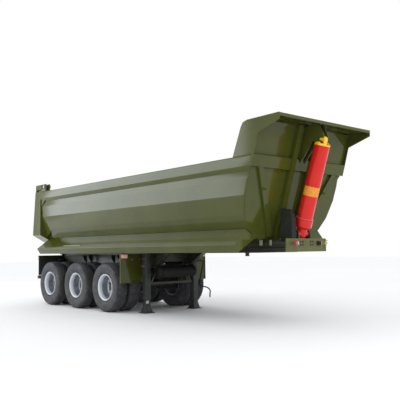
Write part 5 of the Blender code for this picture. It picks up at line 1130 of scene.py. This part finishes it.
def build_axles():
    """Axle tubes with seats, flanges, backplates, cam shafts, levers and domed brake chambers."""
    half = [(0, 0.980), (0.0770, 0.980), (0.0770, 0.6403), (0.198, 0.6400), (0.200, 0.637), (0.200, 0.628),
            (0.110, 0.620), (0.086, 0.600), (0.075, 0.560)]
    lever = [(0, -0.016), (0.024, -0.016), (0.024, 0.016), (0, 0.016)]
    can = [(0, 0), (0.066, 0), (0.076, 0.010), (0.078, 0.052), (0.070, 0.056), (0.070, 0.064),
           (0.078, 0.068), (0.074, 0.110), (0.056, 0.134), (0.020, 0.142), (0, 0.143)]
    clamp = [(0.071, 0.0545), (0.082, 0.0545), (0.082, 0.0655), (0.071, 0.0655)]
    y, z, cam_z = 0.290, AXLE_Z + 0.050, 0.467
    for index in range(3):
        x = ahead(index * AXLE_SPACING)
        fittings = [block((x - 0.075, 0.435, AXLE_Z + 0.010), (x + 0.075, 0.525, AXLE_Z + 0.100)),
                    block((x - 0.162, y - 0.060, z - 0.060), (x - 0.150, y + 0.060, z + 0.060)),
                    block((x - 0.118, y - 0.010, 0.455), (x - 0.102, y + 0.010, z + 0.018)),
                    turned(lever, (x - 0.110, y, cam_z), LEFTWARD, 24),
                    tube([(x - 0.156, y, z), (x - 0.100, y, z)], 0.010),
                    tube([(x - 0.110, y, cam_z), (x - 0.110, 0.632, cam_z)], 0.016, 16),
                    block((x - 0.156, 0.329, 0.431), (x - 0.037, 0.341, z))]
        axle = turned(two_ended(half), (x, 0, AXLE_Z), LEFTWARD, 48)
        chamber = turned(can, (x - 0.1605, y, z), (-1, 0, 0), 40)
        band = turned(clamp, (x - 0.1605, y, z), (-1, 0, 0), 40, ring=True)
        tag = str(index + 1)
        piece("axle_beam_" + tag, [axle] + both_sides(fittings), primed_steel, FRAME_CASTING,
              ("axle_" + tag,), edge=0.002)
        piece("brake_chambers_" + tag, both_sides([chamber]), black_plastic, FRAME_CASTING)
        piece("chamber_bands_" + tag, both_sides([band]), zinc_plate, FRAME_BOLT)


def build_tank():
    """The air tank: a drum with domed ends and weld seams, straps, hangers and a drain valve."""
    x, z = ahead(TANK_AHEAD), TANK_Z
    turns = np.radians(np.linspace(0, 90, 9)[1:])
    dome = [(0.120 * math.sin(turn), 0.470 + 0.050 * math.cos(turn)) for turn in turns]
    half = [(0, 0.520)] + dome + [(0.1215, 0.462), (0.1215, 0.454), (0.120, 0.450)]
    strap = [(0.1201, -0.018), (0.123, -0.018), (0.123, 0.018), (0.1201, 0.018)]
    hanger_front = ahead(3.597)
    straps = [block((hanger_front - 0.067, 0.4175, z), (hanger_front, 0.4575, 1.0196)),
              turned(strap, (x, 0.4375, z), LEFTWARD, 48, ring=True)]
    drum = turned(two_ended(half), (x, 0, z), LEFTWARD, 48)
    drain = nut((x, 0, z - 0.119), (0, 0, -1), 0.030, 0.020)
    piece("tank_drum", [drum, drain] + both_sides(straps), black_enamel, FRAME_BEAM, ("air_tank",))


def build_hose_guard():
    """The ribbed cover over the cylinder's hose: a thin shell with a short roof and a round front."""
    rear, roof_end, front = ahead(7.030), ahead(7.090), ahead(7.279)
    foot, top = 1.4606, 2.040
    right, left = -0.360, -0.240
    radius = front - roof_end
    turn = np.radians(np.linspace(0, 90, 19))
    arc = np.stack((roof_end + radius * np.cos(turn), top - radius + radius * np.sin(turn)), 1)
    outer = np.concatenate(([(front, foot)], arc, [(rear, top)]))
    inner = sideways(outer, -0.006)
    side_line = np.concatenate((outer, [(rear, foot)]))
    shapes = [extruded(np.concatenate((outer, inner[::-1])), "y", right, left),
              extruded(side_line, "y", right, right + 0.006), extruded(side_line, "y", left - 0.006, left)]
    for z in np.arange(1.50, 1.97, 0.042):
        rib_top = z + 0.012
        rise = max(0.0, rib_top - (top - radius))
        reach = roof_end + math.sqrt(radius ** 2 - rise ** 2)
        shapes += [block((rear + 0.004, right - 0.004, z), (reach + 0.004, right + 0.0002, rib_top)),
                   block((rear + 0.004, left - 0.0002, z), (reach + 0.004, left + 0.004, rib_top)),
                   block((reach - 0.003, right - 0.004, z), (reach + 0.004, left + 0.004, rib_top))]
    piece("hose_cover", shapes, guard_enamel, FRAME_PLASTIC, ("hose_guard",), edge=0.001)


# CAD nodes that only get rounded edges and a finish, with the rounding's width
SHARP_EDGES = (
    ("front_wall", olive_enamel, BODY_SHEET, 0.003),
    ("front_frame", olive_enamel, BODY_SHEET, 0.009),
    ("canopy", olive_enamel, BODY_SHEET, 0.003),
    ("rear_frame", olive_enamel, BODY_SHEET, 0.006),
    ("tailgate", olive_enamel, ("tailgate", "olive_paint"), 0.006),
    ("body_subframe", chassis_enamel, ("dump_body", "chassis_paint"), 0.005),
    ("chassis_frame", chassis_enamel, FRAME_BEAM, 0.003),
    ("cylinder_cradle", chassis_enamel, FRAME_BEAM, 0.004),
    ("landing_gear_brace", chassis_enamel, FRAME_BEAM, 0.004),
    ("coupler_plate", primed_steel, FRAME_CASTING, 0.003),
)
for node_name, node_look, node_role, rounding in SHARP_EDGES:
    softened(node_name, node_look, node_role, rounding)
build_tub()
build_rails()
build_skirts()
build_cylinder()
build_cap()
build_label()
build_wheels()
build_wall_details()
build_rear_details()
build_front_plate()
build_guard_panels()
build_stiffeners()
build_light_bar()
build_rear_fittings()
build_legs()
build_suspension()
build_axles()
build_tank()
build_hose_guard()
